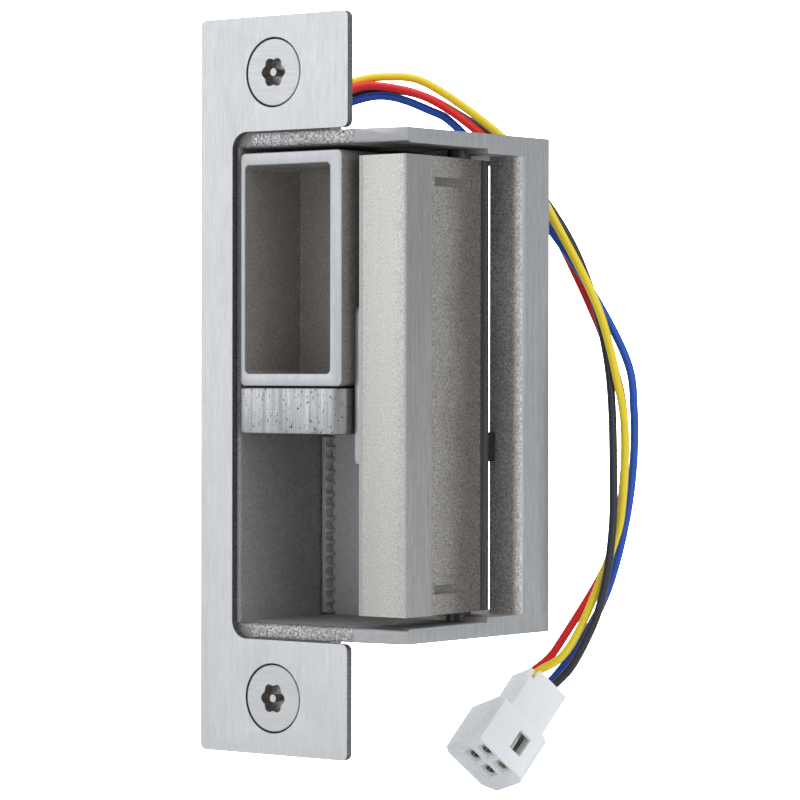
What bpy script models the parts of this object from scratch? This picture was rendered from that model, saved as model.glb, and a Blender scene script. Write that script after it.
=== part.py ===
"""Electric door strike: a swinging keeper locked by a solenoid, in a cast frame behind a faceplate.

Millimetres in the design values, metres in the model. Design values are measured from the centre
of the faceplate's front face: +X to the lip side, +Y into the door frame and +Z up. The finished
assembly is moved so that the origin lies on the faceplate's side strip, at ORIGIN_X.
"""

from math import cos, pi, radians, sin

import bmesh
import bpy
from mathutils import Matrix, Vector

MM = 0.001
GAP = 0.3  # clearance between touching pieces
ORIGIN_X = -12.4  # design X of the model's origin, the middle of the strip beside the cut-out

# Faceplate, ANSI 4-7/8 x 1-1/4 in
PLATE_WIDTH = 31.75
PLATE_HEIGHT = 123.8
PLATE_THICKNESS = 1.3
PLATE_CORNER = 1.2
PLATE_EDGE = 0.35
CUTOUT_LEFT = -8.9
CUTOUT_HALF_HEIGHT = 42.65
CUTOUT_CORNER = 3.0
SCREW_Z = 52.4

# Flat-head screw, #12-24
HEAD_RADIUS = 5.6
SHANK_RADIUS = 2.7
HEAD_DEPTH = 3.3
SCREW_LENGTH = 15.9
RECESS_RADIUS = 2.55
RECESS_PIN_RADIUS = 0.65
RECESS_DEPTH = 2.0

# Cast frame
FRAME_LEFT = -12.0
FRAME_RIGHT = 26.2
FRAME_FRONT = PLATE_THICKNESS + GAP
FRAME_BACK = 42.9
FRAME_HALF_HEIGHT = 42.4
RAIL_FRONT = 1.2
RAIL_TIP_FRONT = 2.8
WINDOW_HALF_HEIGHT = 39.9
REAR_HALF_HEIGHT = 39.1
REAR_STEP_Y = 25.0
CAVITY_LEFT = -8.8
WEB_FRONT = 25.7
WEB_BACK = 28.2
WEB_RIGHT = 10.5
POST_FRONT = 34.5
POST_LEFT = 19.7
POST_ROUND = 1.8
BAY_LEFT = -9.4
BAY_RIGHT = 9.2
BAY_WALL_BOTTOM = -24.0
EAR_HALF_WIDTH = 11.0
EAR_TOP = 60.5
EAR_BACK = 4.6
EAR_HOLE_RADIUS = 7.6
REBATE = 1.3

# Keeper and its hinge
PIVOT_X = 19.5
PIVOT_Y = 26.0
BARREL_RADIUS = 5.0
PIN_RADIUS = 2.0
PIN_HALF_LENGTH = 42.2
KEEPER_HALF_HEIGHT = 38.0
KEEPER_FRONT = 2.1
KEEPER_LEFT = 16.3
LIP_DEPTH = 9.5
LIP_STEP = 0.35
GROOVE_Z = 33.8
GROOVE_WIDTH = 1.4
GROOVE_DEPTH = 0.3
TAIL_LOW = -13.0
TAIL_HIGH = -8.0
TAIL_LEFT = 17.0
TAIL_RIGHT = 21.5
TAIL_END = 34.0
SPRING_POCKET_RADIUS = 4.35
SPRING_POCKET_LOW = 8.0
SPRING_POCKET_HIGH = 24.0
SPRING_COIL_RADIUS = 3.35
SPRING_WIRE_RADIUS = 0.4

# Deadbolt pocket insert
INSERT_LEFT = -8.05
INSERT_RIGHT = 13.8
INSERT_LOW = -0.1
INSERT_HIGH = 39.1
INSERT_FRONT = 1.0
INSERT_BACK = 17.5
POCKET_LEFT = -7.0
POCKET_RIGHT = 11.3
POCKET_LOW = 2.0
POCKET_HIGH = 37.0
POCKET_BACK = 16.0
INSERT_SCREW_X = -3.7
INSERT_SCREW_Z = (12.0, 29.0)

# Guard block and its rack
BLOCK_LEFT = -8.0
BLOCK_RIGHT = 14.0
BLOCK_LOW = -8.1
BLOCK_HIGH = -0.4
BLOCK_FRONT = 1.0
BLOCK_STEP_Y = 17.0
BLOCK_REAR_RIGHT = 10.6
BLOCK_BACK = 25.3
BLOCK_SCREW_X = 4.0
BLOCK_SCREW_Z = -4.2
BLOCK_TRAVEL = 30.0
SLOT_HALF_WIDTH = 2.3
RACK_PITCH = 2.04
RACK_TEETH = 15
RACK_TOP = -8.95
RACK_FACE = -7.0
RACK_FRONT = 23.7

# Latch monitor
FLAP_X = 13.9
FLAP_Y = 19.4
FLAP_FRONT = 3.8
FLAP_FRONT_X = 14.95
FLAP_THICKNESS = 0.9
FLAP_HALF_HEIGHT = 13.5
FLAP_TAIL = (12.55, 24.3)
FLAP_TAIL_LOW = 3.0
FLAP_TAIL_HIGH = 11.0
FLAP_PIN_RADIUS = 0.8
LUG_LOW = 14.0
LUG_HIGH = 16.0
SWITCH_LOW = (4.8, 19.6, 0.6)
SWITCH_HIGH = (11.2, 25.2, 13.4)
TERMINAL_Z = (2.6, 7.0, 11.4)
BUTTON_Y = 23.2
BUTTON_Z = 8.6
BUTTON_RADIUS = 0.6

# Solenoid and lock lever
COIL_X = 0.5
COIL_Y = 36.2
YOKE_LOW = -3.0
YOKE_HIGH = 31.5
YOKE_THICKNESS = 1.6
YOKE_RIGHT = 6.5
YOKE_HALF_DEPTH = 5.0
PLUNGER_RADIUS = 2.6
PLUNGER_STROKE = 2.0
CORE_BOTTOM = 13.5
LEVER_X = -6.5
LEVER_Z = -14.0
LEVER_THICKNESS = 2.0
LEVER_PIN_RADIUS = 1.5
NOSE_LEFT = 12.0
NOSE_RIGHT = 16.6
NOSE_FRONT = 31.0
NOSE_Z = -16.5
NOSE_HALF_HEIGHT = 2.0
COLLAR_Z = -11.0

# Rear cover
COVER_LEFT = -11.4
COVER_RIGHT = 10.2
COVER_LOW = -36.0
COVER_HIGH = 41.8
COVER_SCREWS = ((5.8, 37.4), (-6.8, -6.9), (-5.5, -32.0))

# Cable
GROMMET_Y = 35.4
GROMMET_Z = 35.8
WIRE_RADIUS = 0.73
BUNDLE_RADIUS = 1.36  # from the bundle's middle to each of its four wires
BUNDLE_PLACES = {"yellow": -45, "red": 45, "blue": 135, "black": -135}  # turn from the outer side, degrees
SWEEP_ORIGIN = Vector((-10.0, 33.0, 0.0))  # the loop of wires lies in an upright plane through here
SWEEP_RIGHT = Vector((0.793, 0.609, 0.0))
SWEEP_FRONT = Vector((0.609, -0.793, 0.0))

# Plug
PLUG_REAR = Vector((16.7, 53.5, -53.2))
PLUG_MOUTHWARD = Vector((-0.03, -0.75, -0.66)).normalized()
PLUG_TOPWARD = Vector((0.91, -0.28, 0.30))
PLUG_PITCH = 3.9
PLUG_ROW = 3.7
PLUG_MIDDLE = -0.5
NECK_WIDTH = 8.3
NECK_HEIGHT = 7.7
NECK_LENGTH = 9.4
HOOD_LEFT = -6.5
HOOD_RIGHT = 5.7
HOOD_LOW = -6.4
HOOD_HIGH = 4.05
HOOD_LENGTH = 9.6


# ---------------------------------------------------------------- drawing helpers


def arc(cx, cy, radius, start_deg, end_deg, steps):
    """Points on an arc, both ends included."""
    angles = [radians(start_deg + (end_deg - start_deg) * i / steps) for i in range(steps + 1)]
    return [(cx + radius * cos(a), cy + radius * sin(a)) for a in angles]


def rounded_rectangle(left, right, low, high, radius, steps=4):
    """Outline of a rectangle with equal rounded corners."""
    return (
        arc(right - radius, low + radius, radius, -90, 0, steps)
        + arc(right - radius, high - radius, radius, 0, 90, steps)
        + arc(left + radius, high - radius, radius, 90, 180, steps)
        + arc(left + radius, low + radius, radius, 180, 270, steps)
    )


def circle(cx, cy, radius, sides=24):
    """Outline of a circle."""
    return arc(cx, cy, radius, 0, 360 - 360 / sides, sides - 1)


def to_world(u, v, w, axis):
    """Point with outline coordinates u, v and height w along the named axis, in metres."""
    order = {"X": (w, u, v), "Y": (u, w, v), "Z": (u, v, w)}
    return Vector(order[axis]) * MM


def finish(name, bm):
    """Turn a bmesh into an object with outward normals."""
    bmesh.ops.recalc_face_normals(bm, faces=bm.faces)
    mesh = bpy.data.meshes.new(name)
    bm.to_mesh(mesh)
    bm.free()
    obj = bpy.data.objects.new(name, mesh)
    bpy.context.collection.objects.link(obj)
    return obj


def prism(name, outline, low, high, axis):
    """Closed prism over an outline, from low to high along the axis."""
    bm = bmesh.new()
    bottom = [bm.verts.new(to_world(u, v, low, axis)) for u, v in outline]
    top = [bm.verts.new(to_world(u, v, high, axis)) for u, v in outline]
    bm.faces.new(bottom)
    bm.faces.new(top)
    for i in range(len(outline)):
        j = (i + 1) % len(outline)
        bm.faces.new((bottom[i], bottom[j], top[j], top[i]))
    return finish(name, bm)


def block(name, low, high):
    """Axis-aligned box between two corners."""
    outline = [(low[0], low[1]), (high[0], low[1]), (high[0], high[1]), (low[0], high[1])]
    return prism(name, outline, low[2], high[2], "Z")


def lathe(name, profile, centre, axis, sides=24, ring=False):
    """Turned piece: profile is (radius, height) pairs, a closed loop when ring is true."""
    bm = bmesh.new()
    loops = []
    for radius, height in profile:
        count = sides if radius > 0 else 1
        loop = []
        for i in range(count):
            turn = 2 * pi * i / sides
            point = to_world(radius * cos(turn), radius * sin(turn), height, axis)
            loop.append(bm.verts.new(point + Vector(centre) * MM))
        loops.append(loop)
    pairs = list(zip(loops, loops[1:]))
    if ring:
        pairs.append((loops[-1], loops[0]))
    for lower, upper in pairs:
        for i in range(sides):
            j = (i + 1) % sides
            corners = [lower[i % len(lower)], lower[j % len(lower)]]
            corners += [upper[j % len(upper)], upper[i % len(upper)]]
            corners = list(dict.fromkeys(corners))
            if len(corners) > 2:
                bm.faces.new(corners)
    obj = finish(name, bm)
    smooth(obj)
    return obj


def rod(name, centre, axis, radius, low, high, sides=24, chamfer=0.0):
    """Round bar along an axis, with optional end chamfers."""
    profile = [(0, low), (radius - chamfer, low)]
    if chamfer:
        profile += [(radius, low + chamfer), (radius, high - chamfer)]
    profile += [(radius - chamfer, high), (0, high)]
    if not chamfer:
        profile = [(0, low), (radius, low), (radius, high), (0, high)]
    return lathe(name, profile, centre, axis, sides)


def sweep(name, points, radius, sides=8):
    """Round bar swept along a polyline of points in millimetres, with closed ends."""
    bm = bmesh.new()
    path = [Vector(p) for p in points]
    side = None
    rings = []
    for i, point in enumerate(path):
        ahead = path[min(i + 1, len(path) - 1)] - path[max(i - 1, 0)]
        tangent = ahead.normalized()
        if side is None:
            side = tangent.orthogonal().normalized()
        side = (side - tangent * side.dot(tangent)).normalized()
        other = tangent.cross(side)
        ring = []
        for k in range(sides):
            turn = 2 * pi * k / sides
            offset = side * cos(turn) + other * sin(turn)
            ring.append(bm.verts.new((point + offset * radius) * MM))
        rings.append(ring)
    for lower, upper in zip(rings, rings[1:]):
        for k in range(sides):
            m = (k + 1) % sides
            bm.faces.new((lower[k], lower[m], upper[m], upper[k]))
    bm.faces.new(rings[0])
    bm.faces.new(rings[-1])
    obj = finish(name, bm)
    smooth(obj)
    return obj


def smooth_path(points, steps):
    """Catmull-Rom curve through the points, with steps pieces between each two."""
    path = [Vector(p) for p in points]
    path = [path[0] * 2 - path[1]] + path + [path[-1] * 2 - path[-2]]
    curve = []
    for a, b, c, d in zip(path, path[1:], path[2:], path[3:]):
        for i in range(steps):
            t = i / steps
            curve.append(
                b
                + (c - a) * (0.5 * t)
                + (a * 2 - b * 5 + c * 4 - d) * (0.5 * t * t)
                + (b * 3 - a - c * 3 + d) * (0.5 * t * t * t)
            )
    curve.append(path[-2])
    return curve


def helix(centre, radius, low, high, turns, steps):
    """Points on an upright coil."""
    total = int(turns * steps)
    points = []
    for i in range(total + 1):
        turn = 2 * pi * i / steps
        height = low + (high - low) * i / total
        points.append((centre[0] + radius * cos(turn), centre[1] + radius * sin(turn), height))
    return points


def smooth(obj, angle_deg=35):
    """Smooth shading with sharp edges kept."""
    obj.data.shade_smooth()
    obj.data.set_sharp_from_angle(angle=radians(angle_deg))


def boolean(target, operation, tools):
    """Apply exact booleans with each tool in turn and remove the tools."""
    for tool in tools:
        modifier = target.modifiers.new("boolean", "BOOLEAN")
        modifier.operation = operation
        modifier.solver = "EXACT"
        modifier.object = tool
        graph = bpy.context.evaluated_depsgraph_get()
        mesh = bpy.data.meshes.new_from_object(target.evaluated_get(graph))
        target.modifiers.clear()
        old = target.data
        target.data = mesh
        mesh.name = target.name
        bpy.data.meshes.remove(old)
        bpy.data.objects.remove(tool, do_unlink=True)
    return target


def cut(target, *tools):
    """Cut the tools from the target."""
    return boolean(target, "DIFFERENCE", tools)


def fuse(target, *tools):
    """Join the tools to the target."""
    return boolean(target, "UNION", tools)


def bevel(obj, width, segments=2, angle_deg=40):
    """Rounded edges by a Bevel modifier."""
    modifier = obj.modifiers.new("edge rounding", "BEVEL")
    modifier.width = width * MM
    modifier.segments = segments
    modifier.limit_method = "ANGLE"
    modifier.angle_limit = radians(angle_deg)
    return obj


def set_origin(obj, point):
    """Move the object's origin to a point in millimetres, such as a joint's axis."""
    offset = Vector(point) * MM
    obj.data.transform(Matrix.Translation(-offset))
    obj.location = offset


def material(name, colour, roughness, metallic=0.0):
    """Principled material."""
    made = bpy.data.materials.new(name)
    made.use_nodes = True
    shader = made.node_tree.nodes["Principled BSDF"]
    shader.inputs["Base Color"].default_value = (*colour, 1.0)
    shader.inputs["Roughness"].default_value = roughness
    shader.inputs["Metallic"].default_value = metallic
    return made


def paint(obj, made):
    """Give an object its material."""
    obj.data.materials.clear()
    obj.data.materials.append(made)
    return obj


# ---------------------------------------------------------------- faceplate and its screws


def faceplate_outline():
    """C-shaped outline, anticlockwise from the lower left corner."""
    right = PLATE_WIDTH / 2
    top = PLATE_HEIGHT / 2
    r = PLATE_CORNER
    c = CUTOUT_CORNER
    cut_top = CUTOUT_HALF_HEIGHT
    points = arc(-right + r, -top + r, r, 180, 270, 4)
    points += arc(right - r, -top + r, r, 270, 360, 4)
    points += arc(right - r, -cut_top - r, r, 0, 90, 4)
    points += arc(CUTOUT_LEFT + c, -cut_top + c, c, 270, 180, 6)
    points += arc(CUTOUT_LEFT + c, cut_top - c, c, 180, 90, 6)
    points += arc(right - r, cut_top + r, r, 270, 360, 4)
    points += arc(right - r, top - r, r, 0, 90, 4)
    points += arc(-right + r, top - r, r, 90, 180, 4)
    return points


def build_faceplate():
    """Stamped plate with two formed countersinks."""
    plate = prism("faceplate", faceplate_outline(), 0, PLATE_THICKNESS, "Y")
    wall = 1.0
    seat = HEAD_RADIUS + 0.35
    foot = SHANK_RADIUS + 0.35
    depth = HEAD_DEPTH + 0.2
    for z in (-SCREW_Z, SCREW_Z):
        cone = [(0, 0.6), (seat + wall - 0.5, 0.6), (foot + wall, depth), (0, depth)]
        fuse(plate, lathe("dimple", cone, (0, 0, z), "Y", 32))
        sink = [(0, -1), (seat + 0.25, -1), (seat, 0), (seat, 0.35)]
        sink += [(foot, depth - 0.3), (foot, depth + 1), (0, depth + 1)]
        cut(plate, lathe("countersink", sink, (0, 0, z), "Y", 32))
    bevel(plate, PLATE_EDGE, 2, 60)
    return plate


def star_outline(radius, cz):
    """Six-lobed recess outline."""
    points = []
    for i in range(36):
        turn = 2 * pi * i / 36
        reach = radius * (0.86 + 0.14 * cos(6 * turn))
        points.append((reach * cos(turn), cz + reach * sin(turn)))
    return points


def build_mounting_screw(name, z):
    """Flat-head machine screw with a pin-in-star recess."""
    r = HEAD_RADIUS
    profile = [(0, 0.05), (r, 0.05), (r, 0.35), (SHANK_RADIUS, HEAD_DEPTH)]
    profile += [(SHANK_RADIUS, SCREW_LENGTH - 0.8), (SHANK_RADIUS - 0.8, SCREW_LENGTH), (0, SCREW_LENGTH)]
    screw = lathe(name, profile, (0, 0, z), "Y", 32)
    recess = prism("recess", star_outline(RECESS_RADIUS, z), -1, RECESS_DEPTH, "Y")
    cut(recess, rod("pin", (0, 0, z), "Y", RECESS_PIN_RADIUS, -2, RECESS_DEPTH + 1, 12))
    cut(screw, recess)
    return screw


# ---------------------------------------------------------------- frame


def frame_outline():
    """Outer outline of the casting seen from above."""
    return [
        (FRAME_LEFT, FRAME_FRONT),
        (PLATE_WIDTH / 2 + GAP, FRAME_FRONT),
        (PLATE_WIDTH / 2 + GAP, RAIL_FRONT),
        (FRAME_RIGHT, RAIL_TIP_FRONT),
        (FRAME_RIGHT, FRAME_BACK),
        (FRAME_LEFT, FRAME_BACK),
    ]


def cavity_outline():
    """The latch cavity from above, open to the front and the right."""
    right = FRAME_RIGHT + 5
    return [(CAVITY_LEFT, -5), (right, -5), (right, REAR_STEP_Y), (WEB_RIGHT, REAR_STEP_Y),
            (WEB_RIGHT, WEB_FRONT), (CAVITY_LEFT, WEB_FRONT)]


def rear_outline():
    """The keeper's room behind the latch cavity and the open back between web and post, from above."""
    corner_x = FRAME_RIGHT - POST_ROUND
    corner_y = POST_FRONT + POST_ROUND
    return (
        [(WEB_RIGHT, REAR_STEP_Y - 1), (FRAME_RIGHT + 5, REAR_STEP_Y - 1), (FRAME_RIGHT + 5, corner_y)]
        + arc(corner_x, corner_y, POST_ROUND, 0, -90, 5)
        + [(POST_LEFT, POST_FRONT), (POST_LEFT, FRAME_BACK + 5), (WEB_RIGHT, FRAME_BACK + 5)]
    )


def cut_cavities(frame):
    """Hollow the casting: latch cavity, keeper's room, solenoid bay, cover rebate."""
    h = WINDOW_HALF_HEIGHT
    cut(frame, prism("cavity", cavity_outline(), -h, h, "Z"))
    cut(frame, prism("rear", rear_outline(), -REAR_HALF_HEIGHT, REAR_HALF_HEIGHT, "Z"))
    cut(frame, block("bay", (BAY_LEFT, WEB_BACK, -h), (BAY_RIGHT, FRAME_BACK + 5, h)))
    low = (BAY_RIGHT - 1, WEB_BACK, -h)
    cut(frame, block("bay foot", low, (WEB_RIGHT + 1, FRAME_BACK + 5, BAY_WALL_BOTTOM)))
    low = (COVER_LEFT - GAP, FRAME_BACK - REBATE, COVER_LOW - GAP)
    high = (COVER_RIGHT + GAP, FRAME_BACK + 5, COVER_HIGH + GAP)
    cut(frame, block("rebate", low, high))


def add_ears(frame):
    """Ears behind the faceplate, open around the formed countersinks."""
    for side in (-1, 1):
        low = min(side * (FRAME_HALF_HEIGHT - 1), side * EAR_TOP)
        high = max(side * (FRAME_HALF_HEIGHT - 1), side * EAR_TOP)
        outline = rounded_rectangle(-EAR_HALF_WIDTH, EAR_HALF_WIDTH, low, high, 0.9)
        fuse(frame, prism("ear", outline, FRAME_FRONT, EAR_BACK, "Y"))
        hole = circle(0, side * SCREW_Z, EAR_HOLE_RADIUS, 32)
        cut(frame, prism("ear hole", hole, FRAME_FRONT - 1, EAR_BACK + 1, "Y"))


def add_bosses(frame):
    """Lugs for the flap pin, a boss for the lever pin and posts for the cover screws."""
    for side in (-1, 1):
        low = min(side * LUG_LOW, side * LUG_HIGH)
        high = max(side * LUG_LOW, side * LUG_HIGH)
        eye = arc(FLAP_X, FLAP_Y, 1.6, -90, 60, 8)
        outline = eye + [(13.4, 24.0), (12.9, WEB_BACK), (9.5, WEB_BACK), (9.5, WEB_FRONT + 0.4)]
        outline += [(11.1, WEB_FRONT + 0.4), (11.1, 19.2), (12.6, FLAP_Y - 1.4)]
        fuse(frame, prism("lug", outline, low, high, "Z"))
        place = (FLAP_X, FLAP_Y, 0)
        cut(frame, rod("lug hole", place, "Z", FLAP_PIN_RADIUS + 0.15, low - 1, high + 1, 16))
    boss = rod("lever boss", (LEVER_X, 0, LEVER_Z), "Y", 2.6, WEB_FRONT + 1, 34.6, 20)
    fuse(frame, boss)
    cut(frame, rod("lever hole", (LEVER_X, 0, LEVER_Z), "Y", LEVER_PIN_RADIUS + 0.15, 29.6, 36, 20))
    for x, z in COVER_SCREWS:
        fuse(frame, rod("cover post", (x, 0, z), "Y", 2.3, WEB_FRONT + 1, FRAME_BACK - REBATE, 20))
        cut(frame, rod("cover hole", (x, 0, z), "Y", 1.35, 33.0, FRAME_BACK + 1, 16))


def cut_holes(frame):
    """Holes for the hinge pin, screws, lever nose, cable and wires, and the clamp screw's slot."""
    cut(frame, rod("pin hole", (PIVOT_X, PIVOT_Y, 0), "Z", PIN_RADIUS + 0.12, -50, 50, 24))
    cut(frame, block("nose window", (8, 34.6, -19.6), (11.5, 37.9, -7.6)))
    left = BLOCK_SCREW_X - SLOT_HALF_WIDTH
    right = BLOCK_SCREW_X + SLOT_HALF_WIDTH
    low = BLOCK_SCREW_Z - BLOCK_TRAVEL - SLOT_HALF_WIDTH - 0.2
    high = BLOCK_SCREW_Z + SLOT_HALF_WIDTH + 0.2
    slot = rounded_rectangle(left, right, low, high, SLOT_HALF_WIDTH - 0.05, 6)
    cut(frame, prism("clamp slot", slot, WEB_FRONT - 1, WEB_BACK + 1, "Y"))
    for z in INSERT_SCREW_Z:
        cut(frame, rod("insert hole", (INSERT_SCREW_X, 0, z), "Y", 1.8, WEB_FRONT - 1, WEB_BACK + 1, 16))
    for x, z in switch_screw_places():
        cut(frame, rod("switch hole", (x, 0, z), "Y", 0.95, WEB_FRONT - 1, WEB_BACK + 1, 12))
    for z in solenoid_screw_heights():
        sink = [(0, FRAME_LEFT - 1), (3.0, FRAME_LEFT - 1), (2.75, FRAME_LEFT)]
        sink += [(1.45, FRAME_LEFT + 1.4), (1.45, BAY_LEFT + 1), (0, BAY_LEFT + 1)]
        cut(frame, lathe("solenoid hole", sink, (0, COIL_Y, z), "X", 20))
    cut(frame, rod("cable hole", (0, GROMMET_Y, GROMMET_Z), "X", 3.1, FRAME_LEFT - 1, BAY_LEFT + 1, 24))
    cut(frame, rod("wire hole", (-6.0, 0, 35.2), "Y", 1.9, WEB_FRONT - 1, WEB_BACK + 1, 16))


def build_frame():
    """Cast body: two rails, a web behind the latch cavity, a bay for the solenoid and a rear post."""
    frame = prism("frame", frame_outline(), -FRAME_HALF_HEIGHT, FRAME_HALF_HEIGHT, "Z")
    left = CUTOUT_LEFT + CUTOUT_CORNER + GAP
    right = PLATE_WIDTH / 2 + GAP + 0.2
    for side in (-1, 1):
        low = min(side * (WINDOW_HALF_HEIGHT - 1), side * (FRAME_HALF_HEIGHT - 0.05))
        high = max(side * (WINDOW_HALF_HEIGHT - 1), side * (FRAME_HALF_HEIGHT - 0.05))
        fuse(frame, block("rail face", (left, RAIL_FRONT, low), (right, FRAME_FRONT + 1, high)))
    cut_cavities(frame)
    add_ears(frame)
    add_bosses(frame)
    cut_holes(frame)
    return frame


# ---------------------------------------------------------------- keeper


def keeper_outline():
    """Keeper section from above: lip, grip face, barrel round the pin, latch face."""
    x = FRAME_RIGHT
    points = [(KEEPER_LEFT, KEEPER_FRONT + 0.5), (KEEPER_LEFT + 0.5, KEEPER_FRONT + 0.05)]
    points += [((KEEPER_LEFT + x) / 2, KEEPER_FRONT - 0.12), (x - 0.4, KEEPER_FRONT + 0.05)]
    points += [(x, KEEPER_FRONT + 0.4), (x, LIP_DEPTH), (x - LIP_STEP, LIP_DEPTH + 0.4)]
    points += [(x - 0.8, 17.0), (x - 1.35, 22.0)]
    points += arc(PIVOT_X, PIVOT_Y, BARREL_RADIUS, -12, 200, 20)
    points += [(15.4, 20.8), (KEEPER_LEFT, 18.6)]
    return points


def build_keeper():
    """Swinging lip with grip grooves, a spring pocket and the tail that the lever blocks."""
    keeper = prism("keeper", keeper_outline(), -KEEPER_HALF_HEIGHT, KEEPER_HALF_HEIGHT, "Z")
    tail = rounded_rectangle(TAIL_LEFT, TAIL_RIGHT, PIVOT_Y + 2.5, TAIL_END, 0.5, 2)
    fuse(keeper, prism("tail", tail, TAIL_LOW, TAIL_HIGH, "Z"))
    for side in (-1, 1):
        low = side * GROOVE_Z - GROOVE_WIDTH / 2
        face = FRAME_RIGHT - GROOVE_DEPTH
        groove = [(face - LIP_STEP, LIP_DEPTH + 1.2), (face + 3, LIP_DEPTH + 1.2), (face + 3, 22.5)]
        groove += [(face - 1.3, 22.5), (face - 0.75, 17.0)]
        cut(keeper, prism("groove", groove, low, low + GROOVE_WIDTH, "Z"))
    cut(keeper, rod("bore", (PIVOT_X, PIVOT_Y, 0), "Z", PIN_RADIUS + 0.2, -50, 50, 32))
    low, high = SPRING_POCKET_LOW, SPRING_POCKET_HIGH
    cut(keeper, rod("spring room", (PIVOT_X, PIVOT_Y, 0), "Z", SPRING_POCKET_RADIUS, low, high, 32))
    wedge = [(PIVOT_X, PIVOT_Y)]
    for angle in (-54, -10, 25, 62):
        wedge.append((PIVOT_X - 9 * sin(radians(angle)), PIVOT_Y + 9 * cos(radians(angle))))
    cut(keeper, prism("spring window", wedge, low, high, "Z"))
    bevel(keeper, 0.25, 1, 60)
    set_origin(keeper, (PIVOT_X, PIVOT_Y, 0))
    return keeper


def build_keeper_spring():
    """Torsion spring round the pin; its free leg bears on the bay wall."""
    low = SPRING_POCKET_LOW + 1.5
    high = SPRING_POCKET_HIGH - 1.5
    coil = helix((PIVOT_X, PIVOT_Y), SPRING_COIL_RADIUS, low, high, 10.25, 12)
    leg_y = PIVOT_Y + SPRING_COIL_RADIUS
    leg = [(PIVOT_X - reach, leg_y, high) for reach in (1.5, 4.0, 8.2)]
    return sweep("keeper_spring", coil + leg, SPRING_WIRE_RADIUS, 6)


# ---------------------------------------------------------------- inserts in the latch cavity


def build_insert():
    """Box that takes a deadbolt, with two tapped legs to the web."""
    outline = rounded_rectangle(INSERT_LEFT, INSERT_RIGHT, INSERT_LOW, INSERT_HIGH, 0.9, 3)
    insert = prism("bolt_pocket_insert", outline, INSERT_FRONT, INSERT_BACK, "Y")
    pocket = rounded_rectangle(POCKET_LEFT, POCKET_RIGHT, POCKET_LOW, POCKET_HIGH, 0.9, 3)
    cut(insert, prism("pocket", pocket, -2, POCKET_BACK, "Y"))
    for z in INSERT_SCREW_Z:
        leg = rod("leg", (INSERT_SCREW_X, 0, z), "Y", 2.6, POCKET_BACK + 0.5, WEB_FRONT - GAP, 20)
        fuse(insert, leg)
        hole = rod("tapped", (INSERT_SCREW_X, 0, z), "Y", 1.6, POCKET_BACK + 2, WEB_FRONT + 1, 16)
        cut(insert, hole)
    bevel(insert, 0.3, 2, 60)
    return insert


def block_outline():
    """Guard block from above, notched behind for the rack and the flap's lug."""
    return (
        [(BLOCK_LEFT, BLOCK_FRONT)]
        + arc(BLOCK_RIGHT - 2.4, BLOCK_FRONT + 2.4, 2.4, -90, 0, 5)
        + [(BLOCK_RIGHT, BLOCK_STEP_Y - 1), (BLOCK_RIGHT - 1, BLOCK_STEP_Y)]
        + [(BLOCK_REAR_RIGHT, BLOCK_STEP_Y), (BLOCK_REAR_RIGHT, BLOCK_BACK)]
        + [(-6.2, BLOCK_BACK), (-6.2, 23.2), (BLOCK_LEFT, 23.2)]
    )


def build_guard_block():
    """Adjustable block that keeps the latch guard pin down."""
    guard = prism("guard_block", block_outline(), BLOCK_LOW, BLOCK_HIGH, "Z")
    place = (BLOCK_SCREW_X, 0, BLOCK_SCREW_Z)
    cut(guard, rod("tapped", place, "Y", 2.05, 16, BLOCK_BACK + 1, 16))
    bevel(guard, 0.4, 2, 60)
    set_origin(guard, place)
    return guard


def build_rack():
    """Scalloped strip in the rear corner that indexes the guard block."""
    left = CAVITY_LEFT + GAP
    step = RACK_PITCH
    outline = [(left, RACK_TOP - step * RACK_TEETH), (left, RACK_TOP)]
    for tooth in range(RACK_TEETH):
        centre = RACK_TOP - step * (tooth + 0.5)
        outline += [(RACK_FACE, centre + step / 2 - 0.1)]
        outline += arc(RACK_FACE, centre, step / 2 - 0.25, 90, 270, 4)
    outline += [(RACK_FACE, RACK_TOP - step * RACK_TEETH)]
    return prism("adjuster_rack", outline, RACK_FRONT, WEB_FRONT - GAP, "Y")


# ---------------------------------------------------------------- latch monitor


def build_flap():
    """Thin leaf on a pin, with a short arm behind that presses the switch."""
    half = FLAP_THICKNESS / 2
    front = FLAP_FRONT_X
    leaf = [(front - half, FLAP_FRONT), (front + half, FLAP_FRONT)]
    leaf += [(FLAP_X + 1.3, FLAP_Y - 0.6), (FLAP_X + 0.4, FLAP_Y - 0.6)]
    flap = prism("latch_flap", leaf, -FLAP_HALF_HEIGHT, FLAP_HALF_HEIGHT, "Z")
    knuckle = rod("knuckle", (FLAP_X, FLAP_Y, 0), "Z", 1.45, -FLAP_HALF_HEIGHT, FLAP_HALF_HEIGHT, 16)
    fuse(flap, knuckle)
    x, y = FLAP_TAIL
    arm = [(FLAP_X - 0.4, FLAP_Y + 0.5), (FLAP_X + 0.6, FLAP_Y + 0.5), (x + half, y), (x - half, y)]
    fuse(flap, prism("arm", arm, FLAP_TAIL_LOW, FLAP_TAIL_HIGH, "Z"))
    cut(flap, rod("bore", (FLAP_X, FLAP_Y, 0), "Z", FLAP_PIN_RADIUS + 0.15, -20, 20, 16))
    for side in (-1, 1):
        edge = side * FLAP_HALF_HEIGHT
        corner = [(FLAP_FRONT - 1, edge - side * 2), (FLAP_FRONT, edge - side * 2)]
        corner += [(FLAP_FRONT + 0.6, edge - side * 0.6), (FLAP_FRONT + 2, edge)]
        corner += [(FLAP_FRONT + 2, edge + side), (FLAP_FRONT - 1, edge + side)]
        cut(flap, prism("corner", corner, 13, 17, "X"))
    set_origin(flap, (FLAP_X, FLAP_Y, 0))
    return flap


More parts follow.
